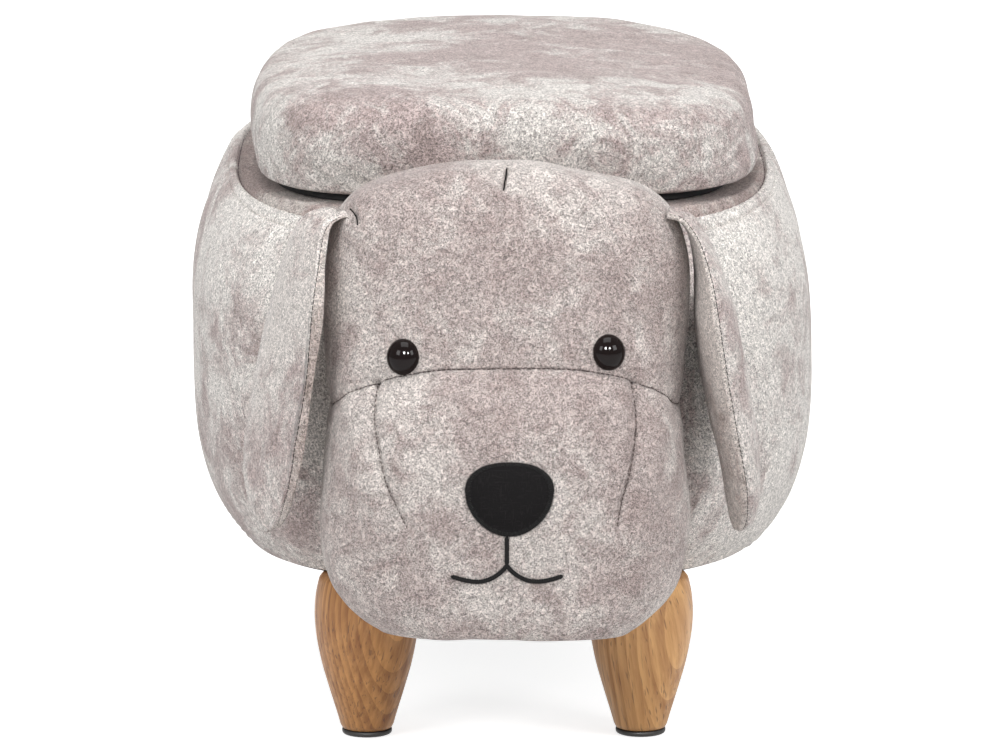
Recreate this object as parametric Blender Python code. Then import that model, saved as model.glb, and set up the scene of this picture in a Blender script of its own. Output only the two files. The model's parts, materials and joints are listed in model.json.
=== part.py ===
"""Animal footstool: a padded storage stool in the shape of a dog, with a hinged lid, a stuffed head,
two floppy ears and four turned legs. Metres, +Z up. The dog faces -Y, left is -X, and the origin is
on the floor in the middle of the footprint."""

import math

import bmesh
import bpy
from mathutils import Matrix, Vector

# Fits between pieces
gap = 0.0003
overrun = 0.004
velvet = 0.0015
lining = 0.001

# Body: a padded barrel, superellipse in plan
body_half_width = 0.174
body_half_length = 0.250
body_squareness = 3.2
body_underside = 0.090
body_height = 0.2005
body_widest_share = 0.5
belly_inset = 0.028
belly_power = 4.5
shoulder_inset = 0.025
shoulder_power = 2.6
front_dip = 0.014
body_sides = 32

# Wooden box inside the body
board_thickness = 0.012
wall_inset = 0.030
wall_thickness = 0.009
rim_inset = 0.036
rim_thickness = 0.012
opening_ledge = 0.0275
opening_squareness = 3.4
tuck_width = 0.009

# Lid, set in from the body's outline
lid_side_margin = 0.0085
lid_front_margin = 0.048
lid_rear_margin = 0.068
lid_squareness = 2.6
lid_front_squareness = 4.2
lid_thickness = 0.057
lid_board_thickness = 0.009
lid_board_inset = 0.0006
lid_corner_inset = 0.004
lid_tuck = 0.024
lid_plug_inset = 0.012
lid_plug_thickness = 0.0042

# Legs, set in from the body's outline
leg_side_inset = 0.099
leg_front_inset = 0.051
leg_rear_inset = 0.066
leg_radius = 0.0285
leg_foot_radius = 0.014
leg_sides = 14
glide_thickness = 0.003
glide_pin_radius = 0.0015
glide_pin_length = 0.009
bolt_radius = 0.004
bolt_chamfer_share = 0.25
bolt_in_leg = 0.030
nut_barrel_radius = 0.0055
nut_barrel_length = 0.009
nut_flange_radius = 0.0095
nut_flange_thickness = 0.0015
bolt_sides = 10

# Head, reaching forward from the body
muzzle_reach = 0.100
head_half_width = 0.0985
head_hang = 0.009
head_height = 0.246
head_depth = 0.145
head_arch = 0.032
head_squareness = 2.7
head_sides = 26

# Wooden block that carries the head, and its bolts, in shares of the head's height
block_half_width = 0.052
block_reach = 0.022
block_bottom_share = 0.22
block_top_share = 0.736
head_bolt_height_share = 0.484
head_bolt_spread_share = 0.69
head_bolt_radius = 0.003
head_bolt_cover = 0.004
head_bolt_head_radius = 0.0055
head_bolt_head_thickness = 0.003

# Face, in shares of the head's half width and height
eye_spread_share = 0.563
eye_height_share = 0.6077
eye_half_width = 0.008
eye_half_height = 0.0093
eye_bulge = 0.0065
eye_sides = 16
shank_radius = 0.002
shank_length = 0.011
washer_radius = 0.0052
washer_thickness = 0.0012
nose_height_share = 0.321
nose_half_width = 0.0215
nose_half_height = 0.0195
nose_squareness = 2.5
nose_taper_share = 0.26
nose_ring_shares = (0.15, 0.45, 0.75, 1.0)
nose_sides = 24
felt = 0.0012
mouth_half_width = 0.0295
mouth_height_share = 0.1443
mouth_drop = 0.0055
mouth_fork_share = 0.9
mouth_arc_power = 0.8
thread_width = 0.0022

# Ears, each two panels hung from the side of the head
ear_root_row = 4
ear_root_depth_share = 0.468
ear_length = 0.170
ear_half_width = 0.040
ear_spread = 0.038
ear_lining_thickness = 0.0032
ear_outer_thickness = 0.0042
ear_edge_share = 0.4
ear_root_turn = math.radians(10)
ear_tip_turn = math.radians(28)

# Hinges
hinge_spread_share = 0.3
hinge_length = 0.036
hinge_leaf_width = 0.027
hinge_leaf_thickness = 0.0012
knuckle_radius = 0.0025
pin_radius = 0.0012
pin_behind_lid = 0.002
screw_radius = 0.0015
screw_head_radius = 0.003
screw_head_thickness = 0.0012
screw_length = 0.009
screw_taper_share = 0.8
screw_spread_share = 0.28
screw_reach_share = 0.65
screw_sides = 8

# Places worked out from the sizes
nose_proud = 2 * gap + felt
body_centre_y = (muzzle_reach + nose_proud) / 2
body_front_y = body_centre_y - body_half_length
body_rear_y = body_centre_y + body_half_length
body_widest = body_underside + body_widest_share * body_height
body_seam = body_underside + body_height
tuck_bottom = body_underside + lining + gap
board_bottom = tuck_bottom + velvet + gap
board_top = board_bottom + board_thickness
wall_top = body_seam - rim_thickness - 2 * gap
rim_bottom = wall_top + gap
rim_top = rim_bottom + rim_thickness
cover_top = rim_top + gap + velvet
flat_inset = rim_inset - velvet
lid_half_width = body_half_width - shoulder_inset - lid_side_margin
lid_front_y = body_front_y + lid_front_margin
lid_rear_y = body_rear_y - lid_rear_margin
lid_half_length = (lid_rear_y - lid_front_y) / 2
lid_centre_y = (lid_rear_y + lid_front_y) / 2
lid_underside = cover_top + lid_plug_thickness + 2 * gap
opening_half_width = lid_half_width - opening_ledge
opening_half_length = lid_half_length - opening_ledge
leg_x = body_half_width - leg_side_inset
leg_front_y = body_front_y + leg_front_inset
leg_rear_y = body_rear_y - leg_rear_inset
leg_top = body_underside - gap
muzzle_y = body_front_y - muzzle_reach
head_back_y = muzzle_y + head_depth
head_bottom = body_underside - head_hang
block_bottom = head_bottom + block_bottom_share * head_height
block_top = head_bottom + block_top_share * head_height
head_bolt_x = block_half_width * head_bolt_spread_share
head_bolt_z = head_bottom + head_bolt_height_share * head_height
eye_x = eye_spread_share * head_half_width
eye_z = head_bottom + eye_height_share * head_height
nose_z = head_bottom + nose_height_share * head_height
mouth_z = head_bottom + mouth_height_share * head_height
mouth_stem_top = nose_z - nose_half_height - gap
ear_root_y = head_back_y - ear_root_depth_share * head_depth
hinge_x = hinge_spread_share * lid_half_width
pin_y = lid_rear_y + pin_behind_lid
pin_z = cover_top + gap + hinge_leaf_thickness / 2 + knuckle_radius
knuckle_wall_middle = (knuckle_radius + pin_radius + gap) / 2
body_leaf_bottom = cover_top + gap
lid_leaf_top = lid_underside - gap


def clear_scene():
    for obj in list(bpy.data.objects):
        bpy.data.objects.remove(obj, do_unlink=True)


def finish(name, colour, roughness, metallic=0.0):
    material = bpy.data.materials.new(name)
    material.use_nodes = True
    shader = material.node_tree.nodes["Principled BSDF"]
    shader.inputs["Base Color"].default_value = (*colour, 1.0)
    shader.inputs["Roughness"].default_value = roughness
    shader.inputs["Metallic"].default_value = metallic
    return material


def axis_empty(name, place):
    empty = bpy.data.objects.new(name, None)
    empty.location = place
    bpy.context.collection.objects.link(empty)
    return empty


def hang(obj, empty):
    """Parents a piece to the empty on its joint's axis, without moving it."""
    obj.parent = empty
    obj.matrix_parent_inverse = Matrix.Translation(-Vector(empty.location))


def add_mesh(name, points, faces, material):
    shape = bmesh.new()
    corners = [shape.verts.new(point) for point in points]
    for face in faces:
        shape.faces.new([corners[index] for index in face])
    bmesh.ops.recalc_face_normals(shape, faces=shape.faces)
    if shape.calc_volume(signed=True) < 0:
        bmesh.ops.reverse_faces(shape, faces=shape.faces)
    mesh = bpy.data.meshes.new(name)
    shape.to_mesh(mesh)
    shape.free()
    mesh.shade_smooth()
    mesh.set_sharp_from_angle(angle=math.radians(35))
    mesh.materials.append(material)
    obj = bpy.data.objects.new(name, mesh)
    bpy.context.collection.objects.link(obj)
    return obj


def loft(name, rings, material, closed=False):
    """Joins rings of equally many points, and caps the two ends or, if closed, joins the last to the first.
    Each quad is split along its shorter diagonal, so that nested pieces keep their gap."""
    count = len(rings[0])
    points = [point for ring in rings for point in ring]
    pairs = list(range(len(rings) - 1)) + ([len(rings) - 1] if closed else [])
    faces = []
    for row in pairs:
        low = row * count
        high = ((row + 1) % len(rings)) * count
        for step in range(count):
            after = (step + 1) % count
            corners = [Vector(points[index]) for index in (low + step, low + after, high + after, high + step)]
            if (corners[0] - corners[2]).length <= (corners[1] - corners[3]).length:
                faces.append((low + step, low + after, high + after))
                faces.append((low + step, high + after, high + step))
            else:
                faces.append((low + step, low + after, high + step))
                faces.append((low + after, high + after, high + step))
    if not closed:
        last = (len(rings) - 1) * count
        faces.append(tuple(reversed(range(count))))
        faces.append(tuple(last + step for step in range(count)))
    return add_mesh(name, points, faces, material)


def turned(name, profile, sides, centre, material, direction=(0, 0, 1), oval=1.0):
    """Turns a profile of (radius, height) points, from axis to axis, about a direction from a centre."""
    turn = Vector((0, 0, 1)).rotation_difference(Vector(direction)).to_matrix()
    middle = Vector(centre)

    def placed(radius, height, angle):
        across = Vector((radius * math.cos(angle), radius * oval * math.sin(angle), height))
        return middle + turn @ across

    points = [placed(0, profile[0][1], 0)]
    faces = []
    inner = profile[1:-1]
    for radius, height in inner:
        points += [placed(radius, height, 2 * math.pi * step / sides) for step in range(sides)]
    points.append(placed(0, profile[-1][1], 0))
    last = len(points) - 1
    for step in range(sides):
        after = (step + 1) % sides
        faces.append((0, 1 + after, 1 + step))
        faces.append((last, last - sides + step, last - sides + after))
        for row in range(len(inner) - 1):
            low = 1 + row * sides
            high = low + sides
            faces.append((low + step, low + after, high + after, high + step))
    return add_mesh(name, points, faces, material)


def rod(name, radius, start, end, material, sides=bolt_sides):
    """A plain cylinder between two points."""
    along = Vector(end) - Vector(start)
    profile = [(0, 0), (radius, 0), (radius, along.length), (0, along.length)]
    return turned(name, profile, sides, start, material, along.normalized())


def ring_tube(name, outer, inner, start, end, material, sides=bolt_sides):
    """A tube between two points, closed all round."""
    along = Vector(end) - Vector(start)
    turn = Vector((0, 0, 1)).rotation_difference(along.normalized()).to_matrix()
    rings = []
    for radius, height in ((outer, 0), (outer, along.length), (inner, along.length), (inner, 0)):
        ring = []
        for step in range(sides):
            angle = 2 * math.pi * step / sides
            ring.append(Vector(start) + turn @ Vector((radius * math.cos(angle), radius * math.sin(angle), height)))
        rings.append(ring)
    return loft(name, rings, material, closed=True)


def block(name, low, high, material):
    """A box between two corners."""
    points = [(x, y, z) for z in (low[2], high[2]) for y in (low[1], high[1]) for x in (low[0], high[0])]
    faces = [(0, 2, 3, 1), (4, 5, 7, 6), (0, 1, 5, 4), (2, 6, 7, 3), (0, 4, 6, 2), (1, 3, 7, 5)]
    return add_mesh(name, points, faces, material)


def cutter(obj):
    obj.hide_render = True
    obj.display_type = "WIRE"
    return obj


def boolean(obj, other, operation="DIFFERENCE"):
    modifier = obj.modifiers.new(operation.title(), "BOOLEAN")
    modifier.operation = operation
    modifier.solver = "EXACT"
    modifier.object = other
    return obj


def around(count, squareness, front_squareness=None):
    """Points of a unit superellipse, evenly spread in angle. Its front half may be squarer than its rear."""
    out = []
    for step in range(count):
        angle = 2 * math.pi * step / count
        cosine = math.cos(angle)
        sine = math.sin(angle)
        power = front_squareness if front_squareness and sine < 0 else squareness
        reach = (abs(cosine) ** power + abs(sine) ** power) ** (-1 / power)
        out.append((reach * cosine, reach * sine))
    return out


def body_ring(inset, height, dip=0.0):
    """The body's outline drawn in by inset, with its front lowered by dip."""
    ring = []
    for across, along in around(body_sides, body_squareness):
        x = (body_half_width - inset) * across
        y = body_centre_y + (body_half_length - inset) * along
        ring.append((x, y, height - dip * max(0, -along) ** 2))
    return ring


def barrel_ring(share, inset=0.0):
    """A ring of the barrel's side: share runs from 0 at the tuck to 1 at the seam."""
    height = tuck_bottom + share * (body_seam - tuck_bottom)
    if height < body_widest:
        drawn = belly_inset * ((body_widest - height) / (body_widest - tuck_bottom)) ** belly_power
        return body_ring(drawn + inset, height)
    rise = (height - body_widest) / (body_seam - body_widest)
    return body_ring(shoulder_inset * rise ** shoulder_power + inset, height, front_dip * rise)


barrel_shares = (0.0, 0.025, 0.08, 0.17, 0.32, 0.5, 0.68, 0.83, 0.93, 1.0)


def opening_ring(inset, height):
    """The opening's outline, drawn in by inset."""
    return [
        (
            (opening_half_width - inset) * across,
            lid_centre_y + (opening_half_length - inset) * along,
            height,
        )
        for across, along in around(body_sides, opening_squareness)
    ]


def lid_ring(inset, height):
    """The lid's outline, drawn in by inset."""
    return [
        (
            (lid_half_width - inset) * across,
            lid_centre_y + (lid_half_length - inset) * along,
            height,
        )
        for across, along in around(body_sides, lid_squareness, lid_front_squareness)
    ]


def seam_line(inset):
    """Height of the top panel's underside between the seam and its flat part, and its dip, at an inset."""
    share = (inset - shoulder_inset) / (flat_inset - shoulder_inset)
    low = body_seam - velvet
    high = rim_top + gap
    return low + share * (high - low), front_dip * (1 - share)


def make_box(wood, velvet_cloth, foam, liner_cloth, black_cloth):
    """Base board, wall, rim, padding, covers and liner of the body."""
    loft("base_board", [body_ring(wall_inset, z) for z in (board_bottom, board_top)], wood)
    wall_bottom = board_top + gap
    inner_inset = wall_inset + wall_thickness
    loft(
        "wall_shell",
        [
            body_ring(wall_inset, wall_bottom),
            body_ring(wall_inset, wall_top),
            body_ring(inner_inset, wall_top),
            body_ring(inner_inset, wall_bottom),
        ],
        wood,
        closed=True,
    )
    rim_opening = -(gap + velvet)
    loft(
        "rim_ring",
        [
            body_ring(rim_inset, rim_bottom),
            body_ring(rim_inset, rim_top),
            opening_ring(rim_opening, rim_top),
            opening_ring(rim_opening, rim_bottom),
        ],
        wood,
        closed=True,
    )
    under = velvet + gap
    padding_inner = wall_inset - gap
    inside = [barrel_ring(share, under) for share in barrel_shares[2:-1]]
    top_height, top_dip = seam_line(padding_inner)
    loft(
        "body_padding",
        inside
        + [
            body_ring(shoulder_inset + under, body_seam - under - gap, front_dip),
            body_ring(padding_inner, top_height - 5 * gap, top_dip),
            body_ring(padding_inner, board_top),
        ],
        foam,
        closed=True,
    )
    make_side_cover(velvet_cloth)
    make_top_cover(velvet_cloth)
    liner_inset = inner_inset + gap
    liner_bottom = board_top + gap
    liner_top = wall_top - gap
    loft(
        "storage_liner",
        [
            body_ring(liner_inset, liner_bottom),
            body_ring(liner_inset, liner_top),
            body_ring(liner_inset + lining, liner_top),
            body_ring(liner_inset + lining, liner_bottom + lining),
        ],
        liner_cloth,
    )
    loft(
        "bottom_dust_cover",
        [body_ring(wall_inset, z) for z in (body_underside, body_underside + lining)],
        black_cloth,
    )


def make_side_cover(velvet_cloth):
    """The barrel's side panel, tucked in under the base board."""
    outside = [barrel_ring(share) for share in barrel_shares[:-1]]
    inside = [barrel_ring(share, velvet) for share in barrel_shares[2:-1]]
    last = body_seam - gap
    tuck = belly_inset + tuck_width
    loft(
        "body_side_cover",
        [body_ring(tuck, tuck_bottom)]
        + outside
        + [body_ring(shoulder_inset, last - velvet, front_dip)]
        + [body_ring(shoulder_inset + velvet, last - velvet, front_dip)]
        + list(reversed(inside))
        + [body_ring(belly_inset + velvet, tuck_bottom + velvet)]
        + [body_ring(tuck, tuck_bottom + velvet)],
        velvet_cloth,
        closed=True,
    )


def make_top_cover(velvet_cloth):
    """The top panel, from the seam over the rim and down inside the opening."""
    low = body_seam - velvet
    loft(
        "body_top_cover",
        [
            body_ring(shoulder_inset, low, front_dip),
            body_ring(shoulder_inset, body_seam, front_dip),
            body_ring(flat_inset, cover_top),
            opening_ring(0, cover_top),
            opening_ring(0, rim_bottom),
            opening_ring(-velvet, rim_bottom),
            opening_ring(-velvet, rim_top + gap),
            body_ring(flat_inset, rim_top + gap),
        ],
        velvet_cloth,
        closed=True,
    )


def body_clearance(clear):
    """Rings of the body's outside, grown by a clearance, that trim what is set against it."""
    rings = [barrel_ring(share, -clear) for share in barrel_shares]
    rings += [body_ring(flat_inset, cover_top + clear), body_ring(2 * flat_inset, cover_top + clear)]
    return rings


leg_shape_shares = (
    (0.0, 0.0),
    (0.10, 0.17),
    (0.26, 0.46),
    (0.42, 0.73),
    (0.58, 0.92),
    (0.72, 1.0),
    (0.84, 0.97),
    (0.93, 0.88),
    (1.0, 0.76),
)


def make_leg(side, end, wood, steel, plastic, drills):
    """A turned leg with its hanger bolt, tee nut and glide. Shares run from the foot to the widest part."""
    x = leg_x * side
    y = leg_front_y if end == "front" else leg_rear_y
    label = f"{end}_{'left' if side < 0 else 'right'}"
    foot = glide_thickness + gap
    height = leg_top - foot
    shape = [
        (leg_foot_radius + (leg_radius - leg_foot_radius) * wide, foot + height * high)
        for high, wide in leg_shape_shares
    ]
    bore = bolt_radius + gap
    bore_floor = leg_top - bolt_in_leg - gap
    pin_bore = glide_pin_radius + gap
    pin_top = glide_thickness + glide_pin_length
    profile = [(0, pin_top + gap), (pin_bore, pin_top + gap), (pin_bore, foot)]
    profile += shape
    profile += [(bore, leg_top), (bore, bore_floor), (0, bore_floor)]
    turned(f"leg_{label}", profile, leg_sides, (x, y, 0), wood)
    chamfer = bolt_radius * bolt_chamfer_share
    start = bore_floor + gap
    thread = [
        (0, start),
        (bolt_radius - chamfer, start),
        (bolt_radius, start + chamfer),
        (bolt_radius, board_top - chamfer),
        (bolt_radius - chamfer, board_top),
        (0, board_top),
    ]
    turned(f"leg_bolt_{label}", thread, bolt_sides, (x, y, 0), steel)
    glide = [
        (0, 0),
        (leg_foot_radius - glide_pin_radius, 0),
        (leg_foot_radius - gap, glide_pin_radius),
        (leg_foot_radius - gap, glide_thickness),
        (glide_pin_radius, glide_thickness),
        (glide_pin_radius, pin_top),
        (0, pin_top),
    ]
    turned(f"leg_glide_{label}", glide, leg_sides, (x, y, 0), plastic)
    make_tee_nut(f"leg_nut_{label}", x, y, steel)
    above = (x, y, board_top + overrun)
    drills.append(cutter(rod(f"drill_{label}", nut_barrel_radius + gap, (x, y, leg_top), above, steel)))
    seat = (x, y, board_top - nut_flange_thickness - gap)
    recess = cutter(rod(f"nut_recess_{label}", nut_flange_radius + gap, seat, above, steel))
    boolean(bpy.data.objects["base_board"], recess)


def make_tee_nut(name, x, y, steel):
    """A tee nut let into the base board from above, its flange flush with the board."""
    bore = bolt_radius + gap
    top = board_top
    seat = top - nut_flange_thickness
    low = seat - nut_barrel_length
    rings = []
    for radius, height in (
        (nut_barrel_radius, low),
        (nut_barrel_radius, seat),
        (nut_flange_radius, seat),
        (nut_flange_radius, top),
        (bore, top),
        (bore, low),
    ):
        ring = []
        for step in range(bolt_sides):
            angle = 2 * math.pi * step / bolt_sides
            ring.append((x + radius * math.cos(angle), y + radius * math.sin(angle), height))
        rings.append(ring)
    loft(name, rings, steel, closed=True)


# Each row of the head: height, half width, front, back and arch, as shares of the head's own sizes
head_bottom_shares = (
    (0.0, 0.62, 0.83, 0.42, 0.0),
    (0.014, 0.78, 0.91, 0.34, 0.0),
    (0.05, 0.91, 0.955, 0.25, 0.06),
    (0.12, 0.98, 0.985, 0.14, 0.18),
    (0.27, 1.0, 1.0, 0.03, 0.44),
    (0.41, 0.985, 0.985, 0.0, 0.68),
    (0.51, 0.965, 0.935, 0.0, 0.87),
    (0.589, 0.945, 0.845, 0.0, 1.0),
)
head_top_shares = (
    (0.589, 0.945, 0.845, 0.0, 1.0),
    (0.67, 0.945, 0.812, 0.0, 0.95),
    (0.77, 0.95, 0.772, 0.03, 0.80),
    (0.86, 0.93, 0.73, 0.07, 0.52),
    (0.925, 0.87, 0.68, 0.12, 0.24),
    (0.967, 0.71, 0.625, 0.21, 0.14),
    (0.99, 0.46, 0.57, 0.31, 0.07),
    (1.0, 0.18, 0.50, 0.40, 0.0),
)


def head_ring(row, inset=0.0, lift=0.0):
    """One ring of the head drawn in by inset: its sides hang lower than its middle by the arch."""
    height_share, width_share, front_share, back_share, arch_share = row
    half_height = head_height / 2
    grow = 1 - inset / half_height
    height = head_bottom + half_height + (head_height * height_share - half_height) * grow + lift
    half_width = head_half_width * width_share - inset
    front = head_back_y - head_depth * front_share + inset
    back = head_back_y - head_depth * back_share - inset
    ring = []
    for across, along in around(head_sides, head_squareness):
        y = (front + back) / 2 + along * (back - front) / 2
        ring.append((half_width * across, y, height - head_arch * arch_share * across ** 2))
    return ring


def head_form(name, inset, material):
    """The whole head as one closed form, drawn in by inset."""
    rings = [head_ring(row, inset) for row in head_bottom_shares + head_top_shares[1:]]
    return loft(name, rings, material)


def make_head(wood, steel, velvet_cloth, foam, felt_cloth, thread, gloss, plastic):
    """Head block, stuffing, the two cover panels and the face."""
    body_trim = cutter(loft("body_trim", body_clearance(gap), foam))
    block_low = (-block_half_width, body_front_y - block_reach, block_bottom)
    block_high = (block_half_width, head_back_y, block_top)
    head_block = boolean(block("head_block", block_low, block_high, wood), body_trim)
    block_trim = cutter(
        block(
            "block_trim",
            [value - gap for value in block_low],
            [value + gap for value in block_high],
            wood,
        )
    )
    stuffing = head_form("head_stuffing", velvet + gap, foam)
    boolean(stuffing, body_trim)
    boolean(stuffing, block_trim)
    seam_gap = gap / 2
    forehead_rings = [head_ring(row, 0, seam_gap) for row in head_top_shares]
    forehead_inside = [head_ring(row, velvet, seam_gap) for row in head_top_shares]
    forehead = loft(
        "forehead_cover",
        list(reversed(forehead_inside)) + forehead_rings,
        velvet_cloth,
    )
    boolean(forehead, body_trim)
    muzzle_rings = [head_ring(row, 0, -seam_gap) for row in head_bottom_shares]
    muzzle_inside = [head_ring(row, velvet, -seam_gap) for row in head_bottom_shares]
    muzzle = loft(
        "muzzle_cover",
        muzzle_rings + list(reversed(muzzle_inside)),
        velvet_cloth,
    )
    boolean(muzzle, body_trim)
    make_head_bolts(steel, head_block)
    for side in (-1, 1):
        make_eye(side, forehead, stuffing, gloss, plastic)
    make_nose_and_mouth(felt_cloth, thread)


def make_head_bolts(steel, head_block):
    """Two bolts from inside the box, their heads let into the wall, into the head block."""
    wall_front_y = body_front_y + wall_inset + wall_thickness
    seat_y = wall_front_y - head_bolt_head_thickness - gap
    shaft = seat_y - (body_front_y - block_reach + head_bolt_cover)
    for side in (-1, 1):
        label = "left" if side < 0 else "right"
        x = head_bolt_x * side
        profile = [
            (0, -head_bolt_head_thickness),
            (head_bolt_head_radius, -head_bolt_head_thickness),
            (head_bolt_head_radius, 0),
            (head_bolt_radius, 0),
            (head_bolt_radius, shaft),
            (0, shaft),
        ]
        turned(f"head_bolt_{label}", profile, bolt_sides, (x, seat_y, head_bolt_z), steel, (0, -1, 0))
        inside = (x, wall_front_y + overrun, head_bolt_z)
        tip = (x, seat_y - shaft - gap, head_bolt_z)
        seat = (x, seat_y - gap, head_bolt_z)
        hole = cutter(rod(f"bolt_hole_{label}", head_bolt_radius + gap, inside, tip, steel))
        sink = cutter(rod(f"bolt_sink_{label}", head_bolt_head_radius + gap, inside, seat, steel))
        boolean(head_block, hole)
        for node in ("wall_shell", "body_padding", "body_side_cover"):
            boolean(bpy.data.objects[node], hole)
        boolean(bpy.data.objects["wall_shell"], sink)


def head_surface(rows, x, z):
    """The point and outward direction of the head's front at a given x and height, from its rings."""
    front = []
    for ring in [head_ring(row) for row in rows]:
        half = sorted(point for point in ring if point[1] < ring[0][1])
        for low, high in zip(half, half[1:]):
            if low[0] <= x <= high[0]:
                share = (x - low[0]) / (high[0] - low[0])
                slope = (high[1] - low[1]) / (high[0] - low[0])
                y = low[1] + share * (high[1] - low[1])
                front.append((low[2] + share * (high[2] - low[2]), y, slope))
                break
    for low, high in zip(front, front[1:]):
        if low[0] <= z <= high[0]:
            share = (z - low[0]) / (high[0] - low[0])
            y = low[1] + share * (high[1] - low[1])
            across = low[2] + share * (high[2] - low[2])
            rise = (high[1] - low[1]) / (high[0] - low[0])
            return Vector((x, y, z)), Vector((across, -1, rise)).normalized()
    raise ValueError("the point isn't on this panel")


def make_eye(side, forehead, stuffing, gloss, plastic):
    """A domed eye whose shank goes through the cover into a lock washer."""
    label = "left" if side < 0 else "right"
    place, outward = head_surface(head_top_shares, eye_x * side, eye_z)
    base = 3 * gap
    inside = -(velvet + 4 * gap)
    dome_steps = 5
    dome = [(eye_half_width * math.cos(math.pi / 2 * step / dome_steps),
             base + eye_bulge * math.sin(math.pi / 2 * step / dome_steps)) for step in range(dome_steps)]
    profile = [(0, -shank_length), (shank_radius, -shank_length), (shank_radius, base)]
    profile += dome + [(0, base + eye_bulge)]
    tall = eye_half_height / eye_half_width
    turned(f"eye_{label}", profile, eye_sides, place, gloss, outward, tall)
    washer_start = place + outward * (inside - gap)
    washer_end = place + outward * (inside - gap - washer_thickness)
    oval_bore = shank_radius * tall + gap
    ring_tube(f"eye_washer_{label}", washer_radius, oval_bore, washer_start, washer_end, plastic)
    hole = rod(
        f"eye_hole_{label}",
        oval_bore,
        place + outward * overrun,
        place - outward * (shank_length + gap),
        plastic,
    )
    pocket = rod(
        f"washer_pocket_{label}",
        washer_radius + gap,
        place,
        place - outward * (shank_length + 2 * gap),
        plastic,
    )
    cutter(hole)
    cutter(pocket)
    boolean(forehead, hole)
    boolean(stuffing, pocket)


def on_muzzle(x, z, lift):
    """A point a little way in front of the muzzle."""
    place, outward = head_surface(head_bottom_shares, x, z)
    return (x, place.y - lift, z)


def make_nose_and_mouth(felt_cloth, thread):
    """The felt nose and the stitched mouth, lying on the muzzle."""
    back = 2 * gap
    nose = []
    for lift, shares in ((back, nose_ring_shares), (back + felt, tuple(reversed(nose_ring_shares)))):
        for share in shares:
            ring = []
            for across, up in around(nose_sides, nose_squareness):
                wide = nose_half_width * across * (1 + nose_taper_share * up)
                ring.append(on_muzzle(wide * share, nose_z + nose_half_height * up * share, lift))
            nose.append(ring)
    loft("nose_patch", nose, felt_cloth)
    outline = mouth_outline()
    mouth = [[on_muzzle(x, z, lift) for x, z in outline] for lift in (back, back + felt)]
    loft("mouth_embroidery", mouth, thread)


def mouth_outline():
    """The mouth seen from the front: a stem and two arcs, as one outline of even width."""
    half = thread_width / 2
    steps = 7
    under = []
    over = []
    for step in range(-steps, steps + 1):
        share = step / steps
        x = mouth_half_width * share
        curve = abs(math.sin(math.pi * abs(share) ** mouth_arc_power))
        z = mouth_z + mouth_drop * ((1 - abs(share)) * mouth_fork_share - curve)
        under.append((x, z - half))
        over.append((x, z + half))
    left = [point for point in over if point[0] < -half]
    right = [point for point in over if point[0] > half]
    fork = over[steps][1]
    stem = [(half, fork), (half, mouth_stem_top), (-half, mouth_stem_top), (-half, fork)]
    return under + list(reversed(right)) + stem + list(reversed(left))


# Each row of an ear: drop, outward reach, half width and thickness, as shares of the ear's own sizes
ear_shares = (
    (0.0, 0.0, 0.42, 0.55),
    (0.07, 0.12, 0.55, 0.85),
    (0.16, 0.29, 0.74, 1.0),
    (0.31, 0.56, 0.95, 1.0),
    (0.49, 0.80, 1.0, 1.0),
    (0.68, 0.95, 0.97, 1.0),
    (0.83, 1.0, 0.85, 0.95),
    (0.93, 0.98, 0.62, 0.85),
    (0.985, 0.92, 0.32, 0.6),
    (1.0, 0.88, 0.10, 0.4),
)


def ear_root():
    """The inner top edge of the right ear, laid against the row of the head that it hangs from."""
    ring = head_ring(head_top_shares[ear_root_row])
    lean = math.tan(ear_root_turn)
    side = max(x - (y - ear_root_y) * lean for x, y, z in ring)
    return Vector((side + gap, ear_root_y, min(point[2] for point in ring)))


def ear_ring(side, row, inner, outer):
    """A slice across the ear between two depths, flat inside and crowned outside."""
    drop_share, reach_share, width_share, thick_share = row
    turn = ear_root_turn + (ear_tip_turn - ear_root_turn) * drop_share
    middle = ear_root() + Vector((ear_spread * reach_share, 0, -ear_length * drop_share))
    across = Vector((math.sin(turn), math.cos(turn), 0))
    outward = Vector((math.cos(turn), -math.sin(turn), 0))
    half = ear_half_width * width_share
    steps = 6
    ring = []
    for step in range(steps + 1):
        share = 2 * step / steps - 1
        ring.append(middle + across * half * share + outward * inner * thick_share)
    for step in range(steps + 1):
        share = 1 - 2 * step / steps
        crown = ear_edge_share + (1 - ear_edge_share) * math.sqrt(max(0, 1 - share ** 2))
        depth = inner + (outer - inner) * crown
        ring.append(middle + across * half * share + outward * depth * thick_share)
    return [(point.x * side, point.y, point.z) for point in ring]


def make_ear(side, velvet_cloth, axis):
    """An outer panel and a lining panel, back to back."""
    label = "left" if side < 0 else "right"
    middle = ear_lining_thickness
    outer_end = middle + gap + ear_outer_thickness
    outer = loft(
        f"ear_outer_{label}",
        [ear_ring(side, row, middle + gap, outer_end) for row in ear_shares],
        velvet_cloth,
    )
    inner = loft(
        f"ear_lining_{label}",
        [ear_ring(side, row, middle, 0) for row in ear_shares],
        velvet_cloth,
    )
    hang(outer, axis)
    hang(inner, axis)


# Each row of the lid's side and crown: inset and height, as shares of its half width and thickness
lid_side_shares = (
    (0.05, 0.10),
    (0.0, 0.33),
    (0.01, 0.56),
    (0.035, 0.73),
    (0.09, 0.85),
    (0.20, 0.93),
    (0.45, 0.975),
    (0.90, 1.0),
)


def lid_dome(inset):
    """Rings up the lid's side and over its crown, drawn in by inset: shares of half width and thickness."""
    rings = [lid_ring(lid_corner_inset + inset, lid_underside + inset)]
    for inset_share, height_share in lid_side_shares:
        drawn = inset_share * lid_half_width + inset
        rings.append(lid_ring(drawn, lid_underside + height_share * (lid_thickness - inset)))
    return rings


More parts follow.
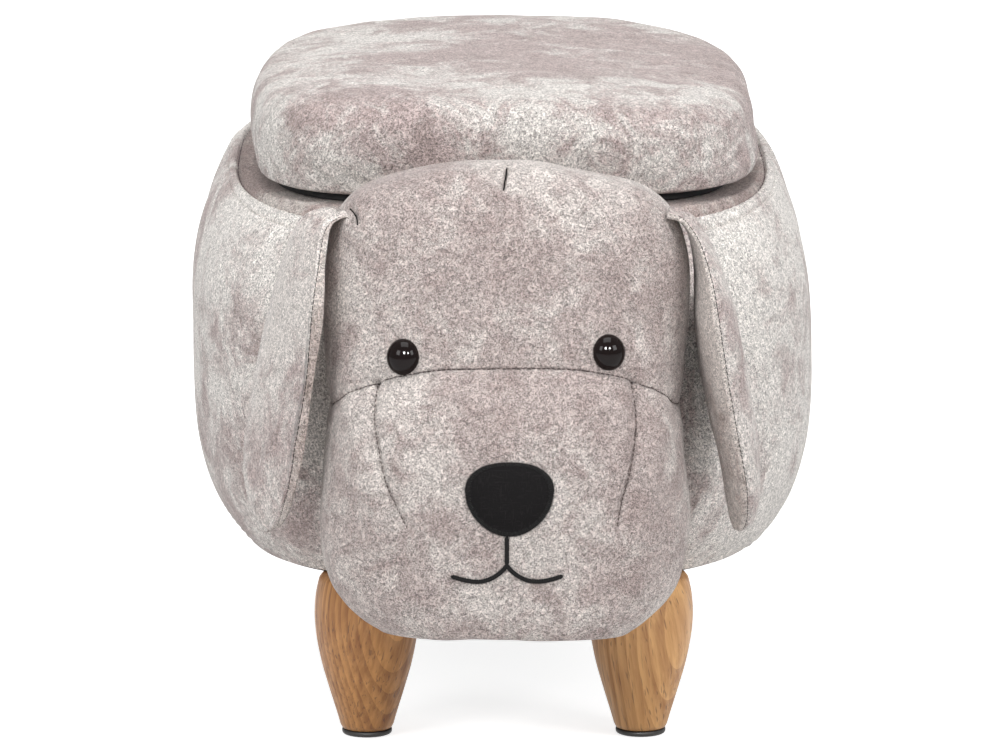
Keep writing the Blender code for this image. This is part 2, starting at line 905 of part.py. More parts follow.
def make_lid(wood, velvet_cloth, foam, black_cloth, axis):
    """Board, foam, velvet cover and black panel of the lid."""
    outside = lid_dome(0)
    inside = lid_dome(velvet)
    tuck_edge = lid_corner_inset + lid_tuck
    cover = loft(
        "lid_cover",
        list(reversed(inside))
        + [lid_ring(tuck_edge, lid_underside + velvet), lid_ring(tuck_edge, lid_underside)]
        + outside,
        velvet_cloth,
    )
    board_low = lid_underside + velvet + gap
    board_high = board_low + lid_board_thickness
    board_edge = max(lid_corner_inset, lid_side_shares[0][0] * lid_half_width) + velvet + lid_board_inset
    board = loft("lid_board", [lid_ring(board_edge, z) for z in (board_low, board_high)], wood)
    under = velvet + gap
    foam_rings = [ring for ring in lid_dome(under) if ring[0][2] > board_high + gap]
    foam_low = [lid_ring(under + lid_corner_inset, board_high + gap)]
    foam_piece = loft("lid_foam", foam_low + foam_rings, foam)
    plug_rings = [lid_ring(lid_plug_inset, z) for z in (cover_top + gap, lid_underside - gap)]
    plug = loft("lid_lining", plug_rings, black_cloth)
    for piece in (cover, board, foam_piece, plug):
        hang(piece, axis)
    return cover, board, plug


def pan_screw(name, place, direction, steel):
    """A pan-head screw whose head's underside is at a place, pointing along a direction."""
    profile = [
        (0, -screw_head_thickness),
        (screw_head_radius * screw_taper_share, -screw_head_thickness),
        (screw_head_radius, 0),
        (screw_radius, 0),
        (screw_radius, screw_length * screw_taper_share),
        (0, screw_length),
    ]
    return turned(name, profile, screw_sides, place, steel, direction)


def make_leaf(name, side, plate_y, plate_z, knuckles, holes, steel):
    """A hinge leaf: a drilled plate joined to its knuckles, cut clear of the other leaf's, with the pin's bore."""
    x = hinge_x * side
    half = hinge_length / 2
    sixth = hinge_length / 6
    plate = block(name, (x - half, plate_y[0], plate_z[0]), (x + half, plate_y[1], plate_z[1]), steel)
    for hole in holes:
        boolean(plate, hole)
    spans = {"outer": ((-half, -sixth), (sixth, half)), "middle": ((-sixth, sixth),)}
    own = spans[knuckles]
    others = spans["middle" if knuckles == "outer" else "outer"]
    for number, (low, high) in enumerate(others):
        room = rod(
            f"{name}_room_{number}",
            knuckle_radius + 3 * gap,
            (x + low - gap, pin_y, pin_z),
            (x + high + gap, pin_y, pin_z),
            steel,
        )
        boolean(plate, cutter(room))
    for number, (low, high) in enumerate(own):
        inset = gap / 2
        knuckle = rod(
            f"{name}_knuckle_{number}",
            knuckle_radius,
            (x + low + (inset if low > -half else 0), pin_y, pin_z),
            (x + high - (inset if high < half else 0), pin_y, pin_z),
            steel,
        )
        boolean(plate, cutter(knuckle), "UNION")
    bore = rod(
        f"{name}_bore",
        pin_radius + gap,
        (x - half - overrun, pin_y, pin_z),
        (x + half + overrun, pin_y, pin_z),
        steel,
    )
    boolean(plate, cutter(bore))
    return plate


def make_screws(side, cover, board, axis, steel):
    """The screws of one hinge, and the holes that its two leaves share with what carries them."""
    label = "left" if side < 0 else "right"
    body_holes = []
    lid_holes = []
    reach = knuckle_radius + hinge_leaf_width * screw_reach_share
    clear = screw_radius + gap
    for share in (-screw_spread_share, screw_spread_share):
        x = hinge_x * side + hinge_length * share
        tag = f"{label}_{'inner' if share * side < 0 else 'outer'}"
        top = (x, pin_y + reach, body_leaf_bottom + hinge_leaf_thickness + gap)
        low_end = (x, pin_y + reach, top[2] - screw_length - gap)
        pan_screw(f"body_leaf_screw_{tag}", top, (0, 0, -1), steel)
        hole = cutter(rod(f"body_screw_hole_{tag}", clear, low_end, top, steel))
        for node in ("body_top_cover", "rim_ring"):
            boolean(bpy.data.objects[node], hole)
        body_holes.append(hole)
        under = (x, pin_y - reach, lid_leaf_top - hinge_leaf_thickness - gap)
        high_end = (x, pin_y - reach, under[2] + screw_length + gap)
        hang(pan_screw(f"lid_leaf_screw_{tag}", under, (0, 0, 1), steel), axis)
        lid_hole = cutter(rod(f"lid_screw_hole_{tag}", clear, under, high_end, steel))
        for piece in (cover, board):
            boolean(piece, lid_hole)
        lid_holes.append(lid_hole)
    return body_holes, lid_holes


def make_hinges(steel, cover, board, plug, axis):
    """Two butt hinges behind the lid, with their pins and screws."""
    for side in (-1, 1):
        label = "left" if side < 0 else "right"
        x = hinge_x * side
        half = hinge_length / 2
        far = hinge_leaf_width + knuckle_radius
        body_holes, lid_holes = make_screws(side, cover, board, axis, steel)
        make_leaf(
            f"hinge_body_leaf_{label}",
            side,
            (pin_y, pin_y + far),
            (body_leaf_bottom, body_leaf_bottom + hinge_leaf_thickness),
            "outer",
            body_holes,
            steel,
        )
        lid_leaf = make_leaf(
            f"hinge_lid_leaf_{label}",
            side,
            (pin_y - far, pin_y - knuckle_wall_middle),
            (lid_leaf_top - hinge_leaf_thickness, lid_leaf_top),
            "middle",
            lid_holes,
            steel,
        )
        hang(lid_leaf, axis)
        rod(f"hinge_pin_{label}", pin_radius, (x - half, pin_y, pin_z), (x + half, pin_y, pin_z), steel)
        notch = block(
            f"plug_notch_{label}",
            (x - half - gap, pin_y - far - gap, cover_top - overrun),
            (x + half + gap, pin_y, lid_underside + gap),
            steel,
        )
        boolean(plug, cutter(notch))


def main():
    clear_scene()
    wood = finish("plywood", (0.62, 0.45, 0.28), 0.65)
    oak = finish("oiled_oak", (0.45, 0.22, 0.10), 0.45)
    velvet_cloth = finish("crushed_velvet", (0.46, 0.40, 0.38), 0.8)
    foam = finish("foam", (0.85, 0.80, 0.68), 0.95)
    liner_cloth = finish("liner_cloth", (0.10, 0.10, 0.11), 0.9)
    black_cloth = finish("black_cloth", (0.02, 0.02, 0.02), 0.9)
    felt_cloth = finish("black_felt", (0.015, 0.014, 0.016), 0.9)
    thread = finish("black_thread", (0.015, 0.014, 0.016), 0.6)
    steel = finish("zinc_steel", (0.60, 0.61, 0.63), 0.35, 1.0)
    plastic = finish("dark_plastic", (0.03, 0.03, 0.03), 0.6)
    gloss = finish("eye_gloss", (0.02, 0.008, 0.006), 0.08)

    lid_axis = axis_empty("lid_hinge_axis", (0, pin_y, pin_z))
    root = ear_root()
    left_axis = axis_empty("ear_left_axis", (-root.x, root.y, root.z))
    right_axis = axis_empty("ear_right_axis", (root.x, root.y, root.z))

    make_box(wood, velvet_cloth, foam, liner_cloth, black_cloth)
    drills = []
    for side in (-1, 1):
        for end in ("front", "rear"):
            make_leg(side, end, oak, steel, plastic, drills)
    for drill in drills:
        for node in ("base_board", "bottom_dust_cover", "body_side_cover"):
            boolean(bpy.data.objects[node], drill)
    make_head(wood, steel, velvet_cloth, foam, felt_cloth, thread, gloss, plastic)
    make_ear(-1, velvet_cloth, left_axis)
    make_ear(1, velvet_cloth, right_axis)
    cover, board, plug = make_lid(wood, velvet_cloth, foam, black_cloth, lid_axis)
    make_hinges(steel, cover, board, plug, lid_axis)


main()
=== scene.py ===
import json
import math

import bpy
import numpy as np
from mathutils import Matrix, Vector
from mathutils.bvhtree import BVHTree


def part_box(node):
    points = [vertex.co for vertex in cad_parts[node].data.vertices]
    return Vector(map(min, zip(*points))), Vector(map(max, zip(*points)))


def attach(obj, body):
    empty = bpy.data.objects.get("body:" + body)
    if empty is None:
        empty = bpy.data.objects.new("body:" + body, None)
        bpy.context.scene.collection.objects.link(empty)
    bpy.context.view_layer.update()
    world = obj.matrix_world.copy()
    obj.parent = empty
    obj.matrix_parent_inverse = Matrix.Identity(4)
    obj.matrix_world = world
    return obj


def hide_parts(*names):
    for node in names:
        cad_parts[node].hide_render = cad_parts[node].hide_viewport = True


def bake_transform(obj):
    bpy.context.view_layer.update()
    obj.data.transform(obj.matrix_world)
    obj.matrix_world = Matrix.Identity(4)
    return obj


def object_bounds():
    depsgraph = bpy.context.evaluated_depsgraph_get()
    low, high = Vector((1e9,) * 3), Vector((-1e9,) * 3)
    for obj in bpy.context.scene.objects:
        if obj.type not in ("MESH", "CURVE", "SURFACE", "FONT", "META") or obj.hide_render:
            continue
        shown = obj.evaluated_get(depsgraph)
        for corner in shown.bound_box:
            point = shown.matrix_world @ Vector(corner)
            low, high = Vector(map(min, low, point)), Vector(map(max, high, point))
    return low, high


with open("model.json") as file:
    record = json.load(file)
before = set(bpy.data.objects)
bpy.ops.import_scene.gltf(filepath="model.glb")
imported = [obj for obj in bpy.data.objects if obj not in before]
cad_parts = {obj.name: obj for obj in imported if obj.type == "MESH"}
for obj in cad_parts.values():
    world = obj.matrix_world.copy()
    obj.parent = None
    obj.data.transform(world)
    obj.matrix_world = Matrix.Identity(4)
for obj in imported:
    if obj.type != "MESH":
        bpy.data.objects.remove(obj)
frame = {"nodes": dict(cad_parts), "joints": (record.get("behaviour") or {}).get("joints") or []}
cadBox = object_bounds()
nodes = frame["nodes"]
joints = {joint["name"]: joint for joint in frame["joints"]}
print("frame loaded:", len(nodes), "nodes")


# Small numpy tools

def ease(value, low, high):
    # 0 below low, 1 above high, and a smooth rise between them
    share = np.clip((value - low) / (high - low), 0, 1)
    return share * share * (3 - 2 * share)


def bell(distance, width):
    # 1 at no distance, falling as exp(-(distance / width) squared)
    return np.exp(-(distance / width) ** 2)


def ridge(distance, height, place, width):
    # a bell of this height, this far away
    return height * bell(distance - place, width)


def unit(vectors):
    return vectors / np.linalg.norm(vectors, axis=-1, keepdims=True)


def lengthAlong(points, axis=0):
    # distance from the first point along a path, or from a grid's first row or column along the others
    steps = np.linalg.norm(np.diff(points, axis=axis), axis=-1)
    return np.concatenate([np.zeros_like(steps.take([0], axis)), np.cumsum(steps, axis=axis)], axis=axis)


def throughRows(rows, places):
    # a smooth curve through a table's rows, row 0 at place 0: each slope is half the step between neighbours
    rows = np.asarray(rows, float)
    slope = np.gradient(rows, axis=0)
    first = np.clip(np.floor(places).astype(int), 0, len(rows) - 2)
    part = (np.asarray(places) - first)[:, None]
    square, cube = part ** 2, part ** 3
    return (
        rows[first] * (2 * cube - 3 * square + 1)
        + rows[first + 1] * (3 * square - 2 * cube)
        + slope[first] * (cube - 2 * square + part)
        + slope[first + 1] * (cube - square)
    )


def evenRows(rows, count, scale, start=0, end=None):
    # the curve through a table's rows at places whose steps along the scaled curve are equally long
    fine = np.linspace(start, len(rows) - 1 if end is None else end, 600)
    length = lengthAlong(throughRows(rows, fine) * scale)
    return throughRows(rows, np.interp(np.linspace(0, length[-1], count), length, fine))


def cloudNoise(points, size, seed):
    # value noise from -1 to 1: random numbers at the corners of cubes of this size, blended smoothly
    side = 32
    values = np.random.default_rng(seed).uniform(-1, 1, (side, side, side))
    cell = points / size
    base = np.floor(cell).astype(int)
    part = cell - base
    part = part * part * (3 - 2 * part)
    total = np.zeros(points.shape[:-1])
    for corner in np.ndindex(2, 2, 2):
        spot = (base + corner) % side
        weight = np.prod(np.where(np.array(corner) == 1, part, 1 - part), axis=-1)
        total += weight * values[spot[..., 0], spot[..., 1], spot[..., 2]]
    return total


def lumps(points, layers):
    # noises added up, each with its height, size and seed
    return sum(height * cloudNoise(points, size, seed) for height, size, seed in layers)


def waves(distance, points, pitch, wander, size, seed):
    # a sine of this pitch along a distance, whose crests wander with a noise of this size
    return np.sin(distance * 2 * math.pi / pitch + wander * cloudNoise(points, size, seed))


def ringAngles(count, frontShare=0.5):
    # angles once round from the front, -90 degrees, mirrored in x, with frontShare of them in the front half
    half = count // 2
    front = int(half * frontShare)
    ahead = np.linspace(-math.pi / 2, 0, front, endpoint=False)
    right = np.concatenate([ahead, np.linspace(0, math.pi / 2, half - front + 1)])
    return np.concatenate([right, math.pi - right[-2:0:-1]])


def roundSquare(angles, power, frontPower=None):
    # a unit superellipse: (cos, sin) times (|cos|^n + |sin|^n)^(-1/n). The front half may have its own n
    across, along = np.cos(angles), np.sin(angles)
    n = np.where(along < 0, frontPower or power, power)
    reach = (np.abs(across) ** n + np.abs(along) ** n) ** (-1 / n)
    return across * reach, along * reach


def joinXyz(x, y, z):
    return np.stack(np.broadcast_arrays(x, y, z), axis=-1)


def boxOutline(name, inset=0.0):
    # half width, half length and middle of a node's box, drawn in by inset
    low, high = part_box(name)
    return dict(
        halfWidth=high.x - inset,
        halfLength=(high.y - low.y) / 2 - inset,
        centreY=(high.y + low.y) / 2,
    )


def outlineRings(shape, inset, height, columns, dip=0.0):
    # a superellipse outline drawn in by each inset, its front lowered by dip times (distance ahead) squared
    across, along = roundSquare(ringAngles(columns), shape["power"], shape.get("frontPower"))
    inset, height, dip = (np.asarray(value, float).reshape(-1, 1) for value in (inset, height, dip))
    x = (shape["halfWidth"] - inset) * across
    y = shape["centreY"] + (shape["halfLength"] - inset) * along
    return joinXyz(x, y, height - dip * np.maximum(0, -along) ** 2)


def outwardOf(points):
    # unit normals of a grid of closed rings: the step between columns crossed with the step between rows
    across = np.roll(points, -1, axis=1) - np.roll(points, 1, axis=1)
    normal = np.cross(across, np.gradient(points, axis=0))
    return normal / np.maximum(np.linalg.norm(normal, axis=-1, keepdims=True), 1e-12)


def nearCurve(points, curve):
    # distance of each point to a curve's points, and how far along the curve the nearest one is, 0 to 1
    apart = np.linalg.norm(points[..., None, :] - curve, axis=-1)
    nearest = np.argmin(apart, axis=-1)
    return np.take_along_axis(apart, nearest[..., None], -1)[..., 0], nearest / (len(curve) - 1)


# Making the pieces

def addMesh(name, points, faces, material):
    mesh = bpy.data.meshes.new(name)
    mesh.from_pydata(points.reshape(-1, 3).tolist(), [], faces)
    mesh.materials.append(material)
    mesh.shade_smooth()
    piece = bpy.data.objects.new(name, mesh)
    bpy.context.scene.collection.objects.link(piece)
    return piece


def gridFaces(rows, columns, joined=False, caps=(False, False)):
    # quads between rows and round the columns. A joined grid's last row meets its first,
    # and a cap zips a ring's left half to its right half
    index = np.arange(rows * columns).reshape(rows, columns)
    upper = np.roll(index, -1, axis=0)
    if not joined:
        index, upper = index[:-1], upper[:-1]
    quads = [index, np.roll(index, -1, axis=1), np.roll(upper, -1, axis=1), upper]
    faces = np.stack(quads, axis=-1).reshape(-1, 4).tolist()
    half = columns // 2
    right = np.arange(half)
    left = (columns - right) % columns
    strip = np.stack([left, right, right + 1, left[np.minimum(right + 1, half - 1)]], axis=-1)
    strip[-1, 3] = half + 1
    for wanted, first, flipped in ((caps[0], 0, True), (caps[1], (rows - 1) * columns, False)):
        if not wanted:
            continue
        inner = (strip[1:-1] + first).tolist()
        ends = [[first, first + 1, first + columns - 1], [first + half + 1, first + half - 1, first + half]]
        faces += [face[::-1] if flipped else face for face in inner + ends]
    return faces


def gridPiece(name, points, material, joined=False, caps=(True, True)):
    return addMesh(name, points, gridFaces(*points.shape[:2], joined, caps), material)


def basinPiece(name, points, material):
    # a grid closed at its first ring, whose faces point into the rings
    faces = [face[::-1] for face in gridFaces(*points.shape[:2], caps=(True, False))]
    return addMesh(name, points, faces, material)


def thicken(piece, thickness):
    cloth = piece.modifiers.new("cloth", "SOLIDIFY")
    cloth.thickness = thickness
    cloth.offset = -1


def dress(piece, body, slot, *replaced, fill=None):
    # what every new piece is told: its body and the nodes it stands for. Its finish, slot, is not used
    if body:
        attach(piece, body)
    if replaced:
        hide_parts(*replaced)
    return piece


stitchForm = dict(along=(0, 0.18, 0.5, 0.82, 1), girth=(0.3, 0.85, 1, 0.85, 0.3), sides=6)


def stitches(name, starts, ends, normals, radius, arch, material):
    # one thread per pair of points: rings at places along it, drawn in at the tips,
    # and arched outwards by arch times the sine of the way along
    along = np.array(stitchForm["along"])
    girth = np.array(stitchForm["girth"]) * radius
    turn = np.linspace(0, 2 * math.pi, stitchForm["sides"], endpoint=False)
    side = unit(np.cross(normals, unit(ends - starts)))
    middle = starts[:, None] + (ends - starts)[:, None] * along[:, None]
    middle = middle + normals[:, None] * (arch * np.sin(math.pi * along))[:, None]
    spokes = side[:, None, None] * np.cos(turn)[:, None] + normals[:, None, None] * np.sin(turn)[:, None]
    points = middle[:, :, None] + spokes * girth[:, None, None]
    index = np.arange(points[..., 0].size).reshape(points.shape[:3])
    after = np.roll(index, -1, axis=2)
    quads = np.stack([index[:, :-1], index[:, 1:], after[:, 1:], after[:, :-1]], axis=-1)
    tips = index[:, 0].tolist() + index[:, -1, ::-1].tolist()
    return addMesh(name, points, quads.reshape(-1, 4).tolist() + tips, material)


def stitchPlaces(path, normals, pitch, fill):
    # starts, ends and normals of stitches along a path, each fill times the pitch long
    length = lengthAlong(path)
    count = max(2, round(length[-1] / pitch))
    first = np.arange(count) * length[-1] / count
    long = length[-1] / count * fill

    def at(values, spots):
        return np.stack([np.interp(spots, length, column) for column in values.T], axis=-1)

    return at(path, first), at(path, first + long), unit(at(normals, first + long / 2))


def turned(profile, count, centre, axis=(0, 0, 1), oval=1.0):
    # a profile of (radius, height) turned about an axis, with its upright direction stretched by oval
    axis = Vector(axis).normalized()
    side = Vector((0, 0, 1)).cross(axis)
    side = side.normalized() if side.length > 1e-6 else Vector((1, 0, 0))
    up = axis.cross(side)
    angles = ringAngles(count)
    profile = np.asarray(profile)
    radius, height = profile[:, 0, None, None], profile[:, 1, None, None]
    spokes = np.outer(np.cos(angles), side) + np.outer(np.sin(angles), up) * oval
    return np.array(centre) + radius * spokes + height * np.array(axis)


# Node tools and shared groups

def paint(code):
    # a screen colour such as "c8b4aa" as the linear colour that nodes use
    parts = np.array([int(code[place:place + 2], 16) for place in (0, 2, 4)]) / 255
    linear = np.where(parts <= 0.04045, parts / 12.92, ((parts + 0.055) / 1.055) ** 2.4)
    return (*linear.tolist(), 1.0)


def plain(value):
    # a colour's code is painted, and any other value stays as it is
    return paint(value) if isinstance(value, str) else value


def addNode(tree, kind, inputs=None, **settings):
    node = tree.nodes.new(kind)
    for key, value in settings.items():
        setattr(node, key, value)
    for label, value in (inputs or {}).items():
        if isinstance(value, bpy.types.NodeSocket):
            tree.links.new(value, node.inputs[label])
        else:
            node.inputs[label].default_value = plain(value)
    return node


def calc(tree, operation, *values):
    return addNode(tree, "ShaderNodeMath", dict(enumerate(values)), operation=operation).outputs[0]


def sums(tree):
    # adding, taking away and multiplying, as functions for one tree
    kinds = ("ADD", "SUBTRACT", "MULTIPLY")
    return [lambda *values, kind=kind: calc(tree, kind, *values) for kind in kinds]


def spread(tree, value, low, high, toLow=0.0, toHigh=1.0):
    ends = {"Value": value, "From Min": low, "From Max": high, "To Min": toLow, "To Max": toHigh}
    return addNode(tree, "ShaderNodeMapRange", ends, interpolation_type="SMOOTHSTEP").outputs[0]


def blendColour(tree, factor, first, second, way="MIX"):
    inputs = {0: factor, 6: first, 7: second}
    return addNode(tree, "ShaderNodeMix", inputs, data_type="RGBA", blend_type=way).outputs[2]


def noise(tree, vector, scale, detail, roughness=0.5, distortion=0.0):
    inputs = {"Vector": vector, "Scale": scale, "Detail": detail, "Roughness": roughness}
    return addNode(tree, "ShaderNodeTexNoise", {**inputs, "Distortion": distortion}).outputs[0]


def stretched(tree, vector, stretch):
    inputs = {0: vector, 1: stretch}
    return addNode(tree, "ShaderNodeVectorMath", inputs, operation="MULTIPLY").outputs[0]


def newGroup(name, inputs):
    # a group fed by a Vector and these inputs, which gives out a colour, a roughness and a height
    group = bpy.data.node_groups.new(name, "ShaderNodeTree")
    face = group.interface
    face.new_socket("Vector", in_out="INPUT", socket_type="NodeSocketVector")
    for label, value in inputs.items():
        kind = "Color" if isinstance(value, str) else "Float"
        face.new_socket(label, in_out="INPUT", socket_type="NodeSocket" + kind).default_value = plain(value)
    for label, kind in (("Color", "Color"), ("Roughness", "Float"), ("Height", "Float")):
        face.new_socket(label, in_out="OUTPUT", socket_type="NodeSocket" + kind)
    return group, addNode(group, "NodeGroupInput").outputs


def fillGroup(group, colour, rough, height):
    addNode(group, "NodeGroupOutput", {"Color": colour, "Roughness": rough, "Height": height})
    return group


velvetLook = dict(
    bump=0.0010,
    sheen=dict(Sheen_Weight=0.24, Sheen_Roughness=0.4, Specular_IOR_Level=0.2),
    # detail, roughness and distortion of the clouds and the deeper patches
    clouds=(9, 0.76, 0.6),
    patches=(8, 0.75, 0.6),
    # sizes against the clouds' own, and how much a region shifts its clouds
    regionScale=0.30,
    regionShift=0.7,
    patchScale=1.6,
    depth=0.8,
    # scale, detail, roughness and distortion of the grain and of the noise whose crossings are thin lines
    grain=(950, 2, 0.7, 0.8),
    grainShade=(0.43, 0.57, 0.76, 1.22),
    crinkle=(430, 2, 0.6, 1.6),
    lineFade=(0.01, 0.06, 1.0, 0.0),
    # where the crinkle noise crosses these values: creases painted darker as shade, glints painted lighter as
    # highlights
    creaseAt=0.46,
    creaseShade=0.42,
    glintAt=0.58,
    glintLight=0.34,
)


def makeVelvetGroup():
    # crushed velvet: mauve pile with ragged pale clouds and deeper patches, fine grain, painted shade along
    # thin creases and painted highlights along thin glints
    group, given = newGroup(
        "crushedVelvet", dict(Pile="b3a3a0", Pale="d2ccc7", Deep="9e8e8a", Clouds=20.0, Paleness=0.0)
    )
    look = velvetLook
    add, minus, times = sums(group)
    place, scale = given["Vector"], given["Clouds"]
    clouds = noise(group, place, scale, *look["clouds"])
    region = noise(group, place, times(scale, look["regionScale"]), 2)
    shifted = add(clouds, times(minus(region, 0.5), look["regionShift"]))
    pale = spread(group, add(shifted, given["Paleness"]), 0.38, 0.62)
    patches = noise(group, place, times(scale, look["patchScale"]), *look["patches"])
    deep = times(spread(group, patches, 0.44, 0.64), minus(1.0, pale))
    grain = noise(group, place, *look["grain"])
    crinkle = noise(group, place, *look["crinkle"])
    crease, glint = (
        spread(group, calc(group, "ABSOLUTE", minus(crinkle, look[at])), *look["lineFade"])
        for at in ("creaseAt", "glintAt")
    )
    colour = blendColour(group, pale, given["Pile"], given["Pale"])
    colour = blendColour(group, times(deep, look["depth"]), colour, given["Deep"])
    # the grain's tone, with painted shade along the creases and painted highlights along the glints
    shade = minus(spread(group, grain, *look["grainShade"]), times(crease, look["creaseShade"]))
    shade = add(shade, times(glint, look["glintLight"]))
    colour = blendColour(group, 1.0, colour, shade, "MULTIPLY")
    height = add(minus(times(grain, 0.6), times(crease, 0.35)), times(patches, 0.8))
    return fillGroup(group, colour, spread(group, grain, 0.2, 0.8, 0.72, 0.9), height)


woodLook = dict(
    bump=0.0002,
    alongZ=(1.0, 1.0, 0.07),
    # how much each kind of mark darkens the wood
    rings=0.34,
    streaks=0.40,
    broad=0.22,
    pores=0.55,
    poreColour="4c2f1c",
)


def makeWoodGroup():
    # turned or sawn wood: growth rings about the Z axis of its Vector, long streaks along Z and short pores
    group, given = newGroup(
        "grainedWood", dict(Light="c99a68", Dark="8a5a35", Rings=80.0, Streaks=1.0, Pores=1.0)
    )
    add, minus, times = sums(group)
    long = stretched(group, given["Vector"], woodLook["alongZ"])
    inputs = {"Vector": long, "Scale": given["Rings"], "Distortion": 3.2, "Detail": 3.0, "Detail Scale": 0.35}
    form = dict(wave_type="RINGS", rings_direction="Z", wave_profile="SAW")
    wave = addNode(group, "ShaderNodeTexWave", inputs, **form)
    rings = spread(group, wave.outputs[1], 0.1, 0.95)
    streak = spread(group, noise(group, long, 260, 5, 0.65), 0.34, 0.66)
    broad = spread(group, noise(group, long, 45, 3), 0.3, 0.7)
    mixed = add(times(rings, woodLook["rings"]), times(times(streak, given["Streaks"]), woodLook["streaks"]))
    mixed = add(mixed, times(broad, woodLook["broad"]))
    colour = blendColour(group, mixed, given["Light"], given["Dark"])
    pores = times(spread(group, noise(group, long, 900, 1, 0.4), 0.62, 0.72), given["Pores"])
    colour = blendColour(group, times(pores, woodLook["pores"]), colour, woodLook["poreColour"])
    height = minus(times(streak, 0.4), pores)
    return fillGroup(group, colour, spread(group, streak, 0.0, 1.0, 0.42, 0.56), height)


def makeFibreGroup():
    # matted or spun fibres: two crossed sets of stretched noise
    group, given = newGroup("mattedFibre", dict(Base="202022", Fibre="4a4a4c", Scale=500.0, Amount=0.5))
    sets = [
        noise(group, stretched(group, given["Vector"], stretch), given["Scale"], 3, 0.6, 0.6)
        for stretch in ((1.0, 1.0, 0.18), (0.18, 0.5, 1.0))
    ]
    fibres = calc(group, "MAXIMUM", *sets)
    mask = calc(group, "MULTIPLY", spread(group, fibres, 0.50, 0.72), given["Amount"])
    colour = blendColour(group, mask, given["Base"], given["Fibre"])
    return fillGroup(group, colour, spread(group, fibres, 0.3, 0.8, 0.78, 0.95), fibres)


def makeSurfaceGroup():
    # handled metal or plastic: cloudy roughness, faint colour change and fine scratches
    group, given = newGroup("handledSurface", dict(Base="808080", Scale=300.0, Smooth=0.3, Rough=0.5))
    add, minus, times = sums(group)
    cloudy = noise(group, given["Vector"], given["Scale"], 4, 0.6)
    scratched = stretched(group, given["Vector"], (1.0, 0.06, 1.0))
    fine = noise(group, scratched, times(given["Scale"], 6.0), 2)
    colour = blendColour(group, 1.0, given["Base"], spread(group, cloudy, 0.2, 0.8, 0.86, 1.0), "MULTIPLY")
    change = times(spread(group, cloudy, 0.25, 0.75), minus(given["Rough"], given["Smooth"]))
    return fillGroup(group, colour, add(given["Smooth"], change), fine)


velvetGroup = makeVelvetGroup()
woodGroup = makeWoodGroup()
fibreGroup = makeFibreGroup()
surfaceGroup = makeSurfaceGroup()
print("node groups made")


def newMaterial(name, group, values, bump, offset=(0, 0, 0), turn=(0, 0, 0), **shader):
    # a Principled surface fed by one group. The Mapping node shifts and turns the pattern on the piece
    material = bpy.data.materials.new(name)
    material.use_nodes = True
    tree = material.node_tree
    principled = tree.nodes["Principled BSDF"]
    for label, value in shader.items():
        principled.inputs[label.replace("_", " ")].default_value = value
    place = addNode(tree, "ShaderNodeTexCoord").outputs["Object"]
    angles = [math.radians(angle) for angle in turn]
    mapping = addNode(tree, "ShaderNodeMapping", {"Vector": place, "Location": offset, "Rotation": angles})
    inputs = {"Vector": mapping.outputs[0], **values}
    pattern = addNode(tree, "ShaderNodeGroup", inputs, node_tree=group).outputs
    raised = addNode(tree, "ShaderNodeBump", {"Height": pattern["Height"], "Distance": bump, "Strength": 0.6})
    tree.links.new(pattern["Color"], principled.inputs["Base Color"])
    tree.links.new(pattern["Roughness"], principled.inputs["Roughness"])
    tree.links.new(raised.outputs[0], principled.inputs["Normal"])
    return material


velvetPanels = dict(
    body=dict(offset=(0.31, 0.12, 0.04), Paleness=0.07, Clouds=26.0, Pale="ddd8d3"),
    # the top panel's velvet is darker than the body's: partly its own mauve, partly painted shade from the
    # lid's overhang
    top=dict(offset=(0.44, 0.21, 0.37), Paleness=-0.08, Clouds=34.0, Pile="a3928d", Pale="c6beb8"),
    head=dict(offset=(0.07, 0.55, 0.23), Paleness=-0.03, Clouds=44.0, Pile="b1a4a0", Pale="cac2bd"),
    lid=dict(offset=(0.66, 0.05, 0.41), Paleness=-0.02, Clouds=38.0, Pale="d4cfca"),
    ear=dict(offset=(0.18, 0.83, 0.62), Paleness=0.03, Clouds=40.0, Pale="d5cec9"),
    # the lining's velvet is a little darker and browner than the outer panel's: partly its pile, partly
    # painted shade in the lining's hollow
    earLining=dict(offset=(0.5, 0.3, 0.9), Clouds=34.0, Pile="aea09a", Pale="cac1bb", Deep="978880"),
)


def makeVelvet(part):
    values = dict(velvetPanels[part])
    offset = values.pop("offset")
    bump, sheen = velvetLook["bump"], velvetLook["sheen"]
    return newMaterial(part + "Velvet", velvetGroup, values, bump, offset, **sheen)


def makeFibre(name, base, fibre, scale, bump, **shader):
    return newMaterial(name, fibreGroup, {"Base": base, "Fibre": fibre, "Scale": scale}, bump, **shader)


def makeThread(name, base, fibre):
    return makeFibre(name, base, fibre, 1500.0, 0.0001, Sheen_Weight=0.08, Specular_IOR_Level=0.15)


velvets = {part: makeVelvet(part) for part in velvetPanels}
feltCloth = makeFibre("noseFelt", "0e0c0d", "252223", 900.0, 0.0003, Specular_IOR_Level=0.1)
dustCloth = makeFibre("dustCloth", "19191a", "333335", 500.0, 0.0002)
linerCloth = makeFibre("linerCloth", "2b2a2b", "4d4b4c", 380.0, 0.0002)
blackThread = makeThread("blackThread", "0b0a0a", "282525")
seamThread = makeThread("seamThread", "4f4240", "6f605d")
bandThread = makeThread("bandThread", "63575a", "8a7d7b")
eyeGloss = newMaterial(
    "eyeGloss", surfaceGroup, dict(Base="150b0a", Smooth=0.06, Rough=0.09, Scale=90.0), 0.00001,
    IOR=1.36, Specular_IOR_Level=0.3
)
glidePlastic = newMaterial("glidePlastic", surfaceGroup, dict(Base="2a2827", Smooth=0.4, Rough=0.6), 0.00008)
steel = newMaterial(
    "zincSteel", surfaceGroup, dict(Base="b4b3ad", Smooth=0.22, Rough=0.42), 0.00005, Metallic=1.0
)
